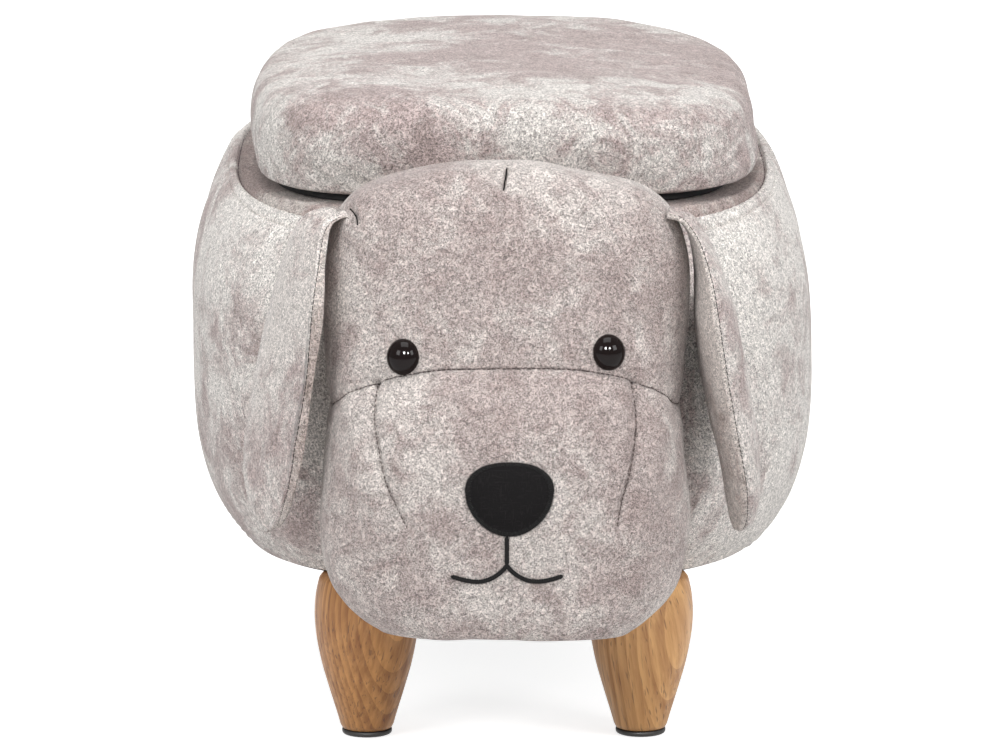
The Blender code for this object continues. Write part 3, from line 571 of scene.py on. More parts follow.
plywood = newMaterial(
    "plywood", woodGroup, dict(Light="d8bd93", Dark="b28f62", Rings=14.0, Streaks=0.7, Pores=0.3),
    woodLook["bump"], turn=(90, 4, 0)
)
print("materials made")


# Body: the barrel's side panel with its padding, and the top panel with its topstitched band

sideLow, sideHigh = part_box("body_side_cover")
topLow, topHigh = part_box("body_top_cover")
wallLow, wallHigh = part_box("wall_shell")
seamDrop = 0.0015  # how far the seam lies under the flat top
body = dict(
    **boxOutline("body_side_cover"),
    power=3.2,
    tuckBottom=sideLow.z,
    seam=topHigh.z - seamDrop,
    widestShare=0.5,
    bellyInset=0.028,
    bellyPower=3.4,
    shoulderInset=sideHigh.x - topHigh.x - 0.005,
    shoulderPower=3.3,
    frontDip=0.014,
    # the cloth turned over the seam and under the tuck, and the room it leaves
    edge=0.001,
    tuckWidth=0.009,
    turnIn=0.0015,
    turnDown=0.0016,
    wallDip=0.006,
    wallClear=0.0005,
    baseClear=0.0004,
    columns=400,
    rows=104,
    # height, size and seed of each noise, and pitch, wander, size and seed of the puckers' waves
    lumps=((0.0016, 0.085, 1), (0.0005, 0.026, 2)),
    pucker=0.0007,
    seamWaves=(0.0105, 2.4, 0.03, 5),
    seamReach=0.007,
    tuckWaves=(0.017, 2.6, 0.05, 6),
    tuckReach=0.012,
    seamGroove=(0.0010, 0.0, 0.0025),
)


def barrelProfile(height):
    # inset and dip of the barrel's side at a height: drawn in as powers of the way below and above its widest
    widest = body["tuckBottom"] + body["widestShare"] * (body["seam"] - body["tuckBottom"])
    below = np.clip((widest - height) / (widest - body["tuckBottom"]), 0, 1)
    above = np.clip((height - widest) / (body["seam"] - widest), 0, 1)
    belly = body["bellyInset"] * below ** body["bellyPower"]
    return belly + body["shoulderInset"] * above ** body["shoulderPower"], body["frontDip"] * above


def makeSidePanel():
    # under the tuck, up the padded side, over the seam and down the wall: (inset, height, dip) row by row
    edge = body["edge"]
    height = np.linspace(body["tuckBottom"] + edge, body["seam"] - edge, body["rows"])
    inset, dip = barrelProfile(height)
    tuck = body["bellyInset"] + body["tuckWidth"]
    wall = body["halfWidth"] - wallHigh.x - body["wallClear"]
    top = body["seam"] - body["turnDown"]
    rows = [(value, body["tuckBottom"], 0.0) for value in np.linspace(tuck, inset[0] + edge, 5)]
    rows += list(zip(inset, height, dip))
    outer = len(rows)
    rows += [(body["shoulderInset"] + body["turnIn"], top, body["frontDip"]), (wall, top, body["wallDip"])]
    rows += [(wall, wallLow.z + edge, 0.0), (tuck, wallLow.z - body["baseClear"], 0.0)]
    inset, height, dip = np.array(rows).T
    points = outlineRings(body, inset, height, body["columns"], dip)
    fromTop = np.abs(body["seam"] - points[..., 2])
    fromTuck = np.abs(points[..., 2] - body["tuckBottom"])
    around = lengthAlong(points, 1)
    move = lumps(points, body["lumps"])
    for wave, distance, reach in (("seamWaves", fromTop, "seamReach"), ("tuckWaves", fromTuck, "tuckReach")):
        move = move + body["pucker"] * waves(around, points, *body[wave]) * np.exp(-distance / body[reach])
    move = move - ridge(fromTop, *body["seamGroove"])
    held = ease(fromTop, 0.0, 0.004) * ease(fromTuck, 0.0, 0.003)
    held[outer:] = 0
    points = points + outwardOf(points) * (move * held)[..., None]
    piece = gridPiece("bodySidePanel", points, velvets["body"], joined=True, caps=(False, False))
    return dress(piece, "stool", "velvet", "body_side_cover", "body_padding", fill=0.8)


opening = dict(**boxOutline("lid_cover", 0.0275), power=3.4, lip=0.002)
band = dict(
    width=0.0056,
    rise=0.0013,
    risePower=0.7,
    groove=0.0016,
    grooveWidths=(0.0007, 0.0006),
    slope=0.0095,
    rows=26,
    pitch=0.0042,
    fill=0.66,
    thread=0.0004,
    lift=0.0003,
)
topPanel = dict(
    flatStart=0.04,
    flatRows=22,
    cloth=0.0012,
    gather=0.0009,
    gatherWaves=(0.0085, 2.6, 0.02, 7),
    gatherReach=0.009,
    gatherOnBand=0.25,
    sag=0.0004,
    sagSize=0.04,
    sagSeed=8,
)


def makeTopPanel():
    # from the seam over the raised band to the flat, across to the opening, and down inside it
    columns, lip = body["columns"], opening["lip"]
    share = np.linspace(0, 1, band["rows"])
    across = share * band["slope"]
    puff = band["rise"] * np.sin(math.pi * np.clip(across / band["width"], 0, 1)) ** band["risePower"]
    inner, outer = band["grooveWidths"]
    dent = band["groove"] * (bell(across - band["width"], inner) + bell(across, outer))
    height = body["seam"] + share * seamDrop + puff - dent
    dip = body["frontDip"] * (1 - share)
    slope = outlineRings(body, body["shoulderInset"] + across, height, columns, dip)
    start = outlineRings(body, body["shoulderInset"] + band["slope"], topHigh.z, columns)[0]
    finish = outlineRings(opening, -lip, topHigh.z, columns)[0]
    way = np.linspace(topPanel["flatStart"], 1, topPanel["flatRows"])[:, None, None]
    flat = start + (finish - start) * way
    bend = np.linspace(0, math.pi / 2, 7)[1:]
    edge = outlineRings(opening, -lip * (1 - np.sin(bend)), topHigh.z - lip * (1 - np.cos(bend)), columns)
    drop = np.linspace(topHigh.z - 2 * lip, topLow.z + 0.0035, 8)
    points = np.concatenate([slope, flat, edge, outlineRings(opening, 0.0, drop, columns)])
    # gathers fade from the band's crease, and the flat sags a little past the slope
    fromCrease = np.concatenate([across, band["slope"] + np.linspace(0.001, 0.03, len(flat))]) - band["width"]
    faded = np.where(fromCrease > 0, np.exp(-fromCrease / topPanel["gatherReach"]), topPanel["gatherOnBand"])
    gathers = waves(lengthAlong(points, 1), points, *topPanel["gatherWaves"]) - 0.8
    points[: len(faded), :, 2] += topPanel["gather"] * gathers[: len(faded)] * faded[:, None]
    pastSlope = ease(np.arange(len(points)), band["rows"] - 2, band["rows"] + 4)[:, None]
    hollow = 1 + cloudNoise(points, topPanel["sagSize"], topPanel["sagSeed"])
    points[..., 2] -= topPanel["sag"] * hollow * pastSlope
    piece = gridPiece("bodyTopPanel", points, velvets["top"], caps=(False, False))
    # the faces outside the crease are the band, in the side panel's velvet; the flat inside keeps the darker
    # top velvet, partly its own mauve and partly painted shade from the lid
    crease = round(band["width"] / band["slope"] * (band["rows"] - 1))
    rowOf = np.arange(len(piece.data.polygons)) // columns
    piece.data.materials.append(velvets["body"])
    piece.data.polygons.foreach_set("material_index", (rowOf < crease).astype(np.int32))
    thicken(piece, topPanel["cloth"])
    dress(piece, "stool", "velvet", "body_top_cover")
    normals = outwardOf(points)
    path = np.concatenate([points[crease], points[crease, :1]]) + [0, 0, band["lift"]]
    facing = np.concatenate([normals[crease], normals[crease, :1]])
    places = stitchPlaces(path, facing, band["pitch"], band["fill"])
    dress(stitches("bandStitches", *places, band["thread"], 0.0003, bandThread), "stool", "velvet")


makeSidePanel()
makeTopPanel()
print("body panels made")


# Inside and under the body: the storage liner and the dust cover

liner = dict(
    cloth=0.001,
    thickness=0.0007,
    corner=0.008,
    power=2.95,
    columns=320,
    slack=0.0012,
    drapeWaves=(0.055, 3, 0.06, 11),
    floorLump=0.0004,
    floorSize=0.035,
    floorSeed=12,
)


def makeLiner():
    # floor, rounded foot and wall of the liner: one profile of (inset, height) carried round an outline with
    # rounder corners than the wall's, which the cloth spans
    low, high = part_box("storage_liner")
    edge = body["halfWidth"] - high.x + liner["cloth"]
    floor, corner = low.z + liner["cloth"], liner["corner"]
    rows = [(edge + corner + value, floor) for value in np.linspace(high.x - corner - 0.003, 0, 26)]
    for turn in np.linspace(0, math.pi / 2, 9)[1:]:
        rows.append((edge + corner * (1 - math.sin(turn)), floor + corner * (1 - math.cos(turn))))
    rows += [(edge, value) for value in np.linspace(floor + corner, high.z, 60)[1:]]
    points = outlineRings(dict(body, power=liner["power"]), *np.array(rows).T, liner["columns"])
    normals = outwardOf(points)
    held = ease(high.z - points[..., 2], 0.0, 0.01) * ease(points[..., 2] - floor, -0.001, 0.006)
    drape = 0.5 + 0.5 * waves(lengthAlong(points, 1), points, *liner["drapeWaves"])
    points = points - normals * (liner["slack"] * drape * held)[..., None]
    uneven = 1 + cloudNoise(points, liner["floorSize"], liner["floorSeed"])
    points[..., 2] += liner["floorLump"] * uneven * (1 - ease(points[..., 2], floor, floor + 0.004))
    piece = basinPiece("storageLiner", points, linerCloth)
    thicken(piece, liner["thickness"])
    return dress(piece, "stool", "liner", "storage_liner")


dust = dict(fold=0.004, lift=0.0004, dimple=0.00025, dimpleSize=0.03, dimpleSeed=13, columns=240)


def makeDustCover():
    # a flat sheet stretched under the base board, with a folded edge, dimpled a little between its staples
    low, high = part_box("bottom_dust_cover")
    fold = dust["fold"]
    inset = np.concatenate([np.linspace(high.x - fold, 1.5 * fold, 30), [fold, fold / 2, 0]])
    inset = inset + body["halfWidth"] - high.x
    points = outlineRings(body, inset, low.z + dust["lift"], dust["columns"])
    points[..., 2] += dust["dimple"] * cloudNoise(points, dust["dimpleSize"], dust["dimpleSeed"])
    piece = basinPiece("dustCover", points, dustCloth)
    return dress(piece, "stool", "black_cloth", "bottom_dust_cover")


makeLiner()
makeDustCover()
print("liner and dust cover made")


# Legs and their glides

leg = dict(
    # height and radius from foot to top, as shares
    rows=((0.0, 0.0), (0.10, 0.17), (0.26, 0.46), (0.42, 0.73), (0.58, 0.92), (0.72, 1.0), (0.84, 0.97),
          (0.93, 0.88), (1.0, 0.76)),
    rowCount=70,
    footRadius=0.014,
    edge=0.0012,
    pole=0.001,
    sides=96,
    coat=dict(Coat_Weight=0.12, Coat_Roughness=0.35),
    grain={
        "front_left": dict(turn=(5, -7, 20), Light="ca9254", Dark="79471f", Rings=92.0),
        "front_right": dict(turn=(-14, 9, 130), Light="d9a76b", Dark="935f30", Rings=64.0),
        "rear_left": dict(turn=(7, 8, 210), Light="cc955a", Dark="7f4d26", Rings=80.0),
        "rear_right": dict(turn=(-6, -9, 300), Light="d19c60", Dark="88542a", Rings=70.0),
    },
    pithShare=0.55,
)
glide = dict(sides=64, gap=0.0003, round=0.5, shoulder=0.8, chamfer=0.2, collar=0.004, pin=0.0015, tip=0.0003)


def footOf(name):
    # half width, foot's centre and height of an upright round node
    low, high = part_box(name)
    return (high.x - low.x) / 2, Vector(((low.x + high.x) / 2, (low.y + high.y) / 2, low.z)), high.z - low.z


def makeLeg(place):
    # the foot's flat and its bevel, the curved shaft and the crown, turned round the leg's middle
    radius, centre, tall = footOf(f"leg_{place}")
    foot, edge, pole = leg["footRadius"], leg["edge"], leg["pole"]
    curve = evenRows(leg["rows"], leg["rowCount"], (tall, radius))
    profile = np.stack([foot + (radius - foot) * curve[:, 1], tall * curve[:, 0]], axis=-1)
    base = [(pole, 0), (foot * 0.6, 0), (foot - edge, 0), (foot - edge * 0.3, edge * 0.3)]
    last = profile[-1, 0]
    crown = [(last - edge, tall), (last * 0.5, tall), (pole, tall)]
    shaft = profile[(profile[:, 1] > edge) & (profile[:, 1] < tall - edge)]
    look = dict(leg["grain"][place])
    turn = look.pop("turn")
    pith = radius * leg["pithShare"]
    shift = (-centre.x + pith, -centre.y - pith, 0)
    oak = newMaterial(f"oak_{place}", woodGroup, look, woodLook["bump"], shift, turn, **leg["coat"])
    points = turned(base + shaft.tolist() + crown, leg["sides"], centre)
    dress(gridPiece(f"turnedLeg_{place}", points, oak), "stool", "leg_wood", f"leg_{place}")


def makeGlide(place):
    # a rounded disc under the foot, with its pin up into the leg
    radius, centre, tall = footOf(f"leg_glide_{place}")
    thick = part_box(f"leg_{place}")[0].z - centre.z - glide["gap"]
    bulge = thick * glide["round"]
    bend = np.linspace(0, math.pi / 2, 6)
    foot = [(radius - bulge * (1 - math.sin(turn)), bulge * (1 - math.cos(turn))) for turn in bend]
    rim = [(radius, thick * glide["shoulder"]), (radius - thick * glide["chamfer"], thick)]
    rim.append((glide["collar"], thick))
    pin = [(glide["pin"], thick), (glide["pin"], tall - 0.001), (glide["tip"], tall)]
    points = turned([(leg["pole"], 0)] + foot + rim + pin, glide["sides"], centre)
    piece = gridPiece(f"footGlide_{place}", points, glidePlastic)
    dress(piece, "stool", "glide_plastic", f"leg_glide_{place}")


for legPlace in leg["grain"]:
    makeLeg(legPlace)
    makeGlide(legPlace)
print("legs made")


# Head: a muzzle panel and a forehead panel, stuffed, sewn together at an arched seam

muzzleLow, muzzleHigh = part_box("muzzle_cover")
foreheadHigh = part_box("forehead_cover")[1]
headDepth = 0.145
head = dict(
    bottom=muzzleLow.z,
    height=foreheadHigh.z - muzzleLow.z,
    halfWidth=muzzleHigh.x,
    backY=muzzleLow.y + headDepth,
    power=2.7,
    arch=0.0283,
    archPower=3.3,
    columns=420,
    frontShare=0.72,
    # height, half width, front and back depth and arch, as shares; the seam is row 10
    rows=(
        (0.0, 0.02, 0.63, 0.62, 0.0), (0.0, 0.34, 0.77, 0.52, 0.0), (0.0, 0.64, 0.90, 0.42, 0.0),
        (0.008, 0.70, 0.94, 0.37, 0.0), (0.035, 0.795, 0.965, 0.29, 0.03), (0.075, 0.88, 0.98, 0.21, 0.09),
        (0.14, 0.955, 0.99, 0.12, 0.21), (0.27, 1.0, 1.0, 0.03, 0.44), (0.41, 0.985, 0.985, 0.0, 0.68),
        (0.51, 0.965, 0.935, 0.0, 0.87), (0.589, 0.945, 0.845, 0.0, 1.0), (0.67, 0.968, 0.815, 0.0, 0.95),
        (0.77, 0.985, 0.775, 0.03, 0.80), (0.85, 0.975, 0.735, 0.07, 0.52), (0.91, 0.915, 0.69, 0.12, 0.26),
        (0.952, 0.785, 0.645, 0.19, 0.13), (0.975, 0.585, 0.60, 0.26, 0.07), (0.992, 0.34, 0.55, 0.34, 0.03),
        (1.0, 0.14, 0.49, 0.41, 0.0), (1.0, 0.02, 0.455, 0.445, 0.0),
    ),
    seamRow=10,
    muzzleRows=150,
    foreheadRows=140,
    # a groove or dent has its depth, its distance and its width; a noise its height, size and seed
    lumps=((0.0018, 0.055, 21), (0.0006, 0.017, 22)),
    seamGroove=(0.0010, 0.0, 0.0011),
    seamPuff=(0.0007, 0.010, 0.007),
    seamPucker=0.0004,
    seamWaves=(0.0075, 2.2, 0.02, 23),
    puckerReach=0.006,
    # each dart's places: share of half width and of height
    darts=(
        ((-0.683, 0.556), (-0.704, 0.4825), (-0.679, 0.4126),
         (-0.641, 0.3476), (-0.583, 0.298), (-0.524, 0.252)),
        ((0.672, 0.556), (0.696, 0.4825), (0.688, 0.4309),
         (0.660, 0.3671), (0.618, 0.310), (0.592, 0.255)),
    ),
    dartGroove=0.0032,
    dartWidth=0.0010,
    dartPucker=0.0006,
    dartWaves=(0.008, 2, 0.02, 24),
    dartPuff=(0.0012, 0.008, 0.007),
    cheekPuff=(0.0024, 0.012, 0.009),
    # the drawn-in folds: places, and depth, distance and width
    folds=(
        (((0.008, 0.993), (0.003, 0.982), (-0.006, 0.968), (-0.010, 0.955)), (0.0048, 0.0, 0.0009)),
        (((-0.834, 0.905), (-0.818, 0.901), (-0.801, 0.892), (-0.791, 0.877)), (0.0026, 0.0, 0.0009)),
    ),
    foldPuff=(0.0010, 0.005, 0.004),
    eyes=dict(left=(-0.549, 0.6085), right=(0.550, 0.6185)),
    eyeDent=(0.0016, 0.0, 0.0105),
    nose=(0.017, 0.338),
    noseDent=(0.0006, 0.021, 0.004),
    bodyClear=0.0008,
)


def headPlace(share):
    # x and z of a place on the head's front, from its shares of half width and height
    return np.array([share[0] * head["halfWidth"], head["bottom"] + share[1] * head["height"]])


def headGrid(count, start, end=None):
    # each row is a superellipse between its own front and back, lowered at its sides by the seam's arch
    scale = (head["height"], head["halfWidth"], headDepth, 0, 0)
    table = evenRows(head["rows"], count, scale, start, end)
    tall, wide, ahead, behind, arched = (column[:, None] for column in table.T)
    across, along = roundSquare(ringAngles(head["columns"], head["frontShare"]), head["power"])
    front = head["backY"] - headDepth * ahead
    back = head["backY"] - headDepth * behind
    x = head["halfWidth"] * wide * across
    y = (front + back) / 2 + along * (back - front) / 2
    drop = head["arch"] * arched * np.abs(across) ** head["archPower"]
    return joinXyz(x, y, head["bottom"] + head["height"] * tall - drop)


def headCurve(shares, count):
    flat = np.array([headPlace(share) for share in shares])
    return throughRows(flat, np.linspace(0, len(flat) - 1, count))


def shapeHead(points, fromSeam):
    # swells the panels, and draws them in at the seam, darts, folds, eyes and nose, along their normals
    normals = outwardOf(points)
    facing = ease(-normals[..., 1], 0.05, 0.5)
    flat = points[..., [0, 2]]
    seam = ridge(fromSeam, *head["seamGroove"]) - ridge(fromSeam, *head["seamPuff"])
    reach = head["puckerReach"]
    move = lumps(points, head["lumps"]) - seam
    pucker = head["seamPucker"] * waves(points[..., 0], points, *head["seamWaves"])
    move = move + pucker * np.exp(-fromSeam / reach)
    for dart in head["darts"]:
        apart, along = nearCurve(flat, headCurve(dart, 70))
        side = np.sign(dart[0][0])
        depth = head["dartGroove"] * (1 - 0.75 * ease(along, 0.55, 1.0))
        tucks = head["dartPucker"] * waves(flat[..., 1], points, *head["dartWaves"])
        tucks = tucks * np.exp(-apart / reach) * (1 - ease(along, 0.8, 1))
        edge = bell(apart, head["dartWidth"]) * depth - tucks
        cheek = ridge(apart, *head["cheekPuff"]) * ease(flat[..., 0] * side, 0.045, 0.085)
        move = move + facing * (cheek - edge + ridge(apart, *head["dartPuff"]))
    for places, groove in head["folds"]:
        apart, along = nearCurve(flat, headCurve(places, 40))
        move = move - facing * ridge(apart, *groove) * (1 - ease(along, 0.75, 1.0))
        move = move + facing * ridge(apart, *head["foldPuff"])
    for share in head["eyes"].values():
        move = move - facing * ridge(np.linalg.norm(flat - headPlace(share), axis=-1), *head["eyeDent"])
    apart = np.linalg.norm((flat - headPlace(head["nose"])) * [1, 1.1], axis=-1)
    move = move - facing * ridge(apart, *head["noseDent"])
    return points + normals * move[..., None]


def clearOfBody(points):
    # where the head would reach into the body, it lies flat on the barrel's front instead
    inset = barrelProfile(np.minimum(points[..., 2], body["seam"]))[0]
    share = np.clip(np.abs(points[..., 0]) / (body["halfWidth"] - inset), 0, 1)
    along = (1 - share ** body["power"]) ** (1 / body["power"])
    limit = body["centreY"] - (body["halfLength"] - inset) * along - head["bodyClear"]
    freed = ease(points[..., 2], topHigh.z, topHigh.z + 0.012)
    points[..., 1] -= np.maximum(points[..., 1] - limit, 0) * (1 - freed)
    return points


def closeAtSeam(points, inwards):
    # the seam allowance: two rows turned in towards the stuffing
    ring = points[-1] if inwards > 0 else points[0]
    middle = ring.mean(axis=0)
    turnedIn = [ring + (middle - ring) * share + [0, 0, -0.001 * inwards] for share in (0.03, 0.4)]
    return np.concatenate([points, turnedIn]) if inwards > 0 else np.concatenate([turnedIn[::-1], points])


def makeHead():
    # both panels, and a tree of their faces for what is seated on them
    low = headGrid(head["muzzleRows"], 0, head["seamRow"])
    high = headGrid(head["foreheadRows"], head["seamRow"])
    climb = lengthAlong(low)
    low = clearOfBody(shapeHead(low, climb[-1] - climb))
    high = clearOfBody(shapeHead(high, lengthAlong(high)))
    muzzle = gridPiece("muzzlePanel", closeAtSeam(low, 1), velvets["head"])
    forehead = gridPiece("foreheadPanel", closeAtSeam(high, -1), velvets["head"])
    dress(muzzle, "stool", "velvet", "muzzle_cover", fill=0.8)
    dress(forehead, "stool", "velvet", "forehead_cover", "head_stuffing", fill=0.8)
    corners = np.concatenate([low.reshape(-1, 3), high.reshape(-1, 3)])
    upper = np.array(gridFaces(*high.shape[:2])) + low[..., 0].size
    return low, BVHTree.FromPolygons(corners.tolist(), gridFaces(*low.shape[:2]) + upper.tolist())


muzzleGrid, headTree = makeHead()


def onHead(flat, lift):
    # seats (x, z) places on the head's front, by a ray along +Y, and lifts them off it
    hits = [headTree.ray_cast(Vector((x, -1, z)), Vector((0, 1, 0))) for x, z in flat.reshape(-1, 2).tolist()]
    if any(hit[0] is None for hit in hits):
        raise ValueError("a place lies beside the head")
    places, normals = (np.array([hit[k] for hit in hits]) for k in (0, 1))
    normals = normals * -np.sign(normals[:, 1:2])
    lift = np.broadcast_to(np.asarray(lift, float).reshape(-1, 1), (len(places), 1))
    shape = (*flat.shape[:-1], 3)
    return (places + normals * lift).reshape(shape), normals.reshape(shape)


headStitch = dict(pitch=0.0027, fill=0.72, radius=0.00022, lift=0.0001, frontDepth=0.055)
# an unbroken black cord laid in the folds, partly thread and partly painted shade
foldShadeThread = dict(pitch=0.0012, fill=1.0, radius=0.00045, lift=0.0001)
stitchArch = 0.0002


def stitchAlong(name, rows, look, material):
    # stitches along several paths with their normals, as one piece
    parts = [stitchPlaces(path, facing, look["pitch"], look["fill"]) for path, facing in rows]
    starts, ends, facing = (np.concatenate(group) for group in zip(*parts))
    dress(stitches(name, starts, ends, facing, look["radius"], stitchArch, material), "stool", "thread")


def makeHeadStitches():
    # dashes along the seam and the two darts, and an unbroken black cord along the drawn-in folds at the apex
    # and the left ear's root, partly thread and partly painted shade in the folds
    ring, facing = muzzleGrid[-1], outwardOf(muzzleGrid)[-1]
    front = np.nonzero(ring[:, 1] < head["backY"] - headStitch["frontDepth"])[0]
    front = front[np.argsort(ring[front, 0])]
    rows = [(ring[front] + facing[front] * headStitch["lift"], facing[front])]
    rows += [onHead(headCurve(dart, 60)[2:], headStitch["lift"]) for dart in head["darts"]]
    stitchAlong("headSeamStitches", rows, headStitch, seamThread)
    folds = [onHead(headCurve(places, 30), foldShadeThread["lift"]) for places, groove in head["folds"]]
    stitchAlong("foldShadeStitches", folds, foldShadeThread, blackThread)


makeHeadStitches()
print("head panels made")


# Face: eyes, nose and mouth

eye = dict(halfWidth=0.0088, tall=1.10, bulge=0.0070, sides=72, lift=0.0002, pole=0.0004)


def makeEye(side, share):
    # a shank and a dome, a quarter ellipse of bulge over half width, on the head's own slope
    place, normal = onHead(headPlace(share)[None], eye["lift"])
    bend = np.linspace(0, math.pi / 2, 16)[:-1]
    wide, rise = eye["halfWidth"], eye["bulge"]
    dome = [(wide * math.cos(turn), rise * math.sin(turn)) for turn in bend]
    shank = [(0.0005, -0.004), (0.002, -0.004), (0.0022, -0.0015)]
    rim = [(wide * 0.85, -0.0012), (wide * 0.97, -0.0006)]
    profile = shank + rim + dome + [(eye["pole"], rise)]
    points = turned(profile, eye["sides"], place[0], normal[0], eye["tall"])
    dress(gridPiece(f"glossEye_{side}", points, eyeGloss), "stool", "eye_plastic", f"eye_{side}")


nose = dict(
    halfWidth=0.0230, above=0.0155, below=0.0235, power=2.3, lowPower=1.88, felt=0.0012, crown=0.0016,
    pole=0.03, backRows=9, frontRows=24, columns=112, backLift=0.0001,
    stitches=168, stitchIn=0.86, stitchOut=1.025, stitchStart=0.1, thread=0.00042, arch=0.0007, wobble=0.0004,
)


def nosePlaces(angles, share):
    # two half superellipses, a low one above the widest place and a deeper one below, shrunk to a share of
    # their size
    across, up = roundSquare(angles, nose["power"], nose["lowPower"])
    tall = np.where(up > 0, nose["above"], nose["below"])
    flat = np.stack([nose["halfWidth"] * across, tall * up], axis=-1)
    return headPlace(head["nose"]) + flat * np.asarray(share, float)[..., None, None]


def makeNose():
    # a felt patch with a low crown, and a border of stitches from its face down to the velvet
    angles = ringAngles(nose["columns"])
    out = np.linspace(nose["pole"], 1, nose["backRows"])
    back = np.linspace(1, nose["pole"], nose["frontRows"])
    crown = nose["felt"] + nose["crown"] * (1 - back ** 3)
    lift = np.concatenate([np.full(len(out), nose["backLift"]), crown])
    points = onHead(nosePlaces(angles, np.concatenate([out, back])), np.repeat(lift, len(angles)))[0]
    dress(gridPiece("nosePatch", points, feltCloth), "stool", "felt", "nose_patch")
    turn = np.linspace(0, 2 * math.pi, nose["stitches"], endpoint=False)
    start, facing = onHead(nosePlaces(turn, [nose["stitchIn"]])[0], nose["felt"] + 0.0003)
    finish = onHead(nosePlaces(turn, [nose["stitchOut"]])[0], nose["felt"] * 0.35)[0]
    wobble = np.random.default_rng(31).uniform(-nose["wobble"], nose["wobble"], (nose["stitches"], 1))
    start = start + (finish - start) * nose["stitchStart"] + wobble * [1, 0, 1]
    border = stitches("noseBorderStitches", start, finish, facing, nose["thread"], nose["arch"], blackThread)
    dress(border, "stool", "thread")


mouth = dict(
    halfWidth=0.0295, heightShare=0.1540, sideShare=0.003, drop=0.0060, forkShare=1.0, arcPower=0.8,
    radius=0.0012, sunk=0.45, flatness=0.8, rib=0.0013, ribDepth=0.10, sides=14,
)


def cordOn(flat):
    # a flattened cord along a path on the head: an oval ring, its radius changed by slanting ribs
    path, facing = onHead(flat, mouth["radius"] * mouth["sunk"])
    length = lengthAlong(path)
    side = unit(np.cross(facing, unit(np.gradient(path, axis=0))))
    turn = ringAngles(mouth["sides"])
    ribs = 1 + mouth["ribDepth"] * np.cos(2 * math.pi * length[:, None] / mouth["rib"] + turn)
    ends = np.sqrt(np.clip(np.minimum(length, length[-1] - length) / mouth["radius"], 0.02, 1))[:, None]
    reach = (mouth["radius"] * ribs * ends)[..., None]
    raised = facing[:, None] * mouth["flatness"] * np.sin(turn)[:, None]
    return path[:, None] + (side[:, None] * np.cos(turn)[:, None] + raised) * reach


def makeMouth():
    # a stem from the nose to the fork, and a smile whose height is a bump of sine on each side
    centre = headPlace((mouth["sideShare"], mouth["heightShare"]))
    share = np.linspace(-1, 1, 321)
    curve = (1 - np.abs(share)) * mouth["forkShare"] - np.sin(math.pi * np.abs(share) ** mouth["arcPower"])
    smile = centre + np.stack([mouth["halfWidth"] * share, mouth["drop"] * curve], axis=-1)
    top = headPlace(head["nose"])[1] - nose["below"]
    fork = centre[1] + mouth["drop"] * mouth["forkShare"]
    stem = np.stack([np.full(90, centre[0]), np.linspace(top, fork, 90)], axis=-1)
    for name, flat, replaced in (("mouthSmile", smile, ["mouth_embroidery"]), ("mouthStem", stem, [])):
        dress(gridPiece(name, cordOn(flat), blackThread), "stool", "thread", *replaced)


for eyeSide, eyeShare in head["eyes"].items():
    makeEye(eyeSide, eyeShare)
makeNose()
makeMouth()
print("face made")


# Ears: an outer panel and a lining sewn together, hanging from the head

ear = dict(
    halfWidth=0.040,
    middle=0.0036,
    lensPower=0.9,
    bowAt=0.32,
    columns=96,
    rowCount=130,
    blendLength=0.026,
    lumps=((0.0010, 0.035, 41), (0.0004, 0.014, 42)),
    # depth, distance and width
    frontGroove=(0.0021, 0.0, 0.0013),
    rearGroove=(0.0010, 0.0, 0.0016),
    foldDepth=0.0016,
    foldWidth=0.004,
    gather=0.0011,
    gatherReach=0.06,
    thread=dict(pitch=0.0031, fill=0.86, radius=0.00036, lift=0.0001),
    # rows: drop, outward reach, half width and thickness, as shares. Turn: at the root, halfway and tip
    left=dict(
        side=-1, spread=0.0385, turn=(20, 22, 26), outer=0.0050, lining=0.0030, bow=0.0015, seamIn=0.0032,
        rows=(
            (0.0, 0.0, 0.34, 0.40), (0.01, 0.16, 0.40, 0.60), (0.03, 0.28, 0.48, 0.76),
            (0.085, 0.38, 0.61, 0.92), (0.20, 0.485, 0.80, 1.0), (0.34, 0.60, 0.96, 1.0),
            (0.49, 0.71, 1.0, 1.0), (0.68, 0.85, 0.97, 1.0), (0.83, 0.95, 0.85, 0.95),
            (0.93, 1.0, 0.62, 0.85), (0.985, 1.0, 0.32, 0.6), (1.0, 0.98, 0.06, 0.3),
        ),
    ),
    right=dict(
        side=1, spread=0.0395, turn=(-2, -5, -5), outer=0.0125, lining=0.0095, bow=0.0010, seamIn=0.0,
        rows=(
            (0.0, 0.0, 0.34, 0.30), (0.01, 0.14, 0.40, 0.38), (0.03, 0.24, 0.48, 0.42),
            (0.085, 0.38, 0.61, 0.47), (0.20, 0.49, 0.80, 0.70), (0.34, 0.54, 0.96, 1.0),
            (0.49, 0.62, 1.0, 1.10), (0.68, 0.77, 0.97, 1.0), (0.83, 0.91, 0.85, 0.86),
            (0.93, 0.97, 0.62, 0.73), (0.985, 0.98, 0.32, 0.5), (1.0, 0.97, 0.06, 0.25),
        ),
    ),
)


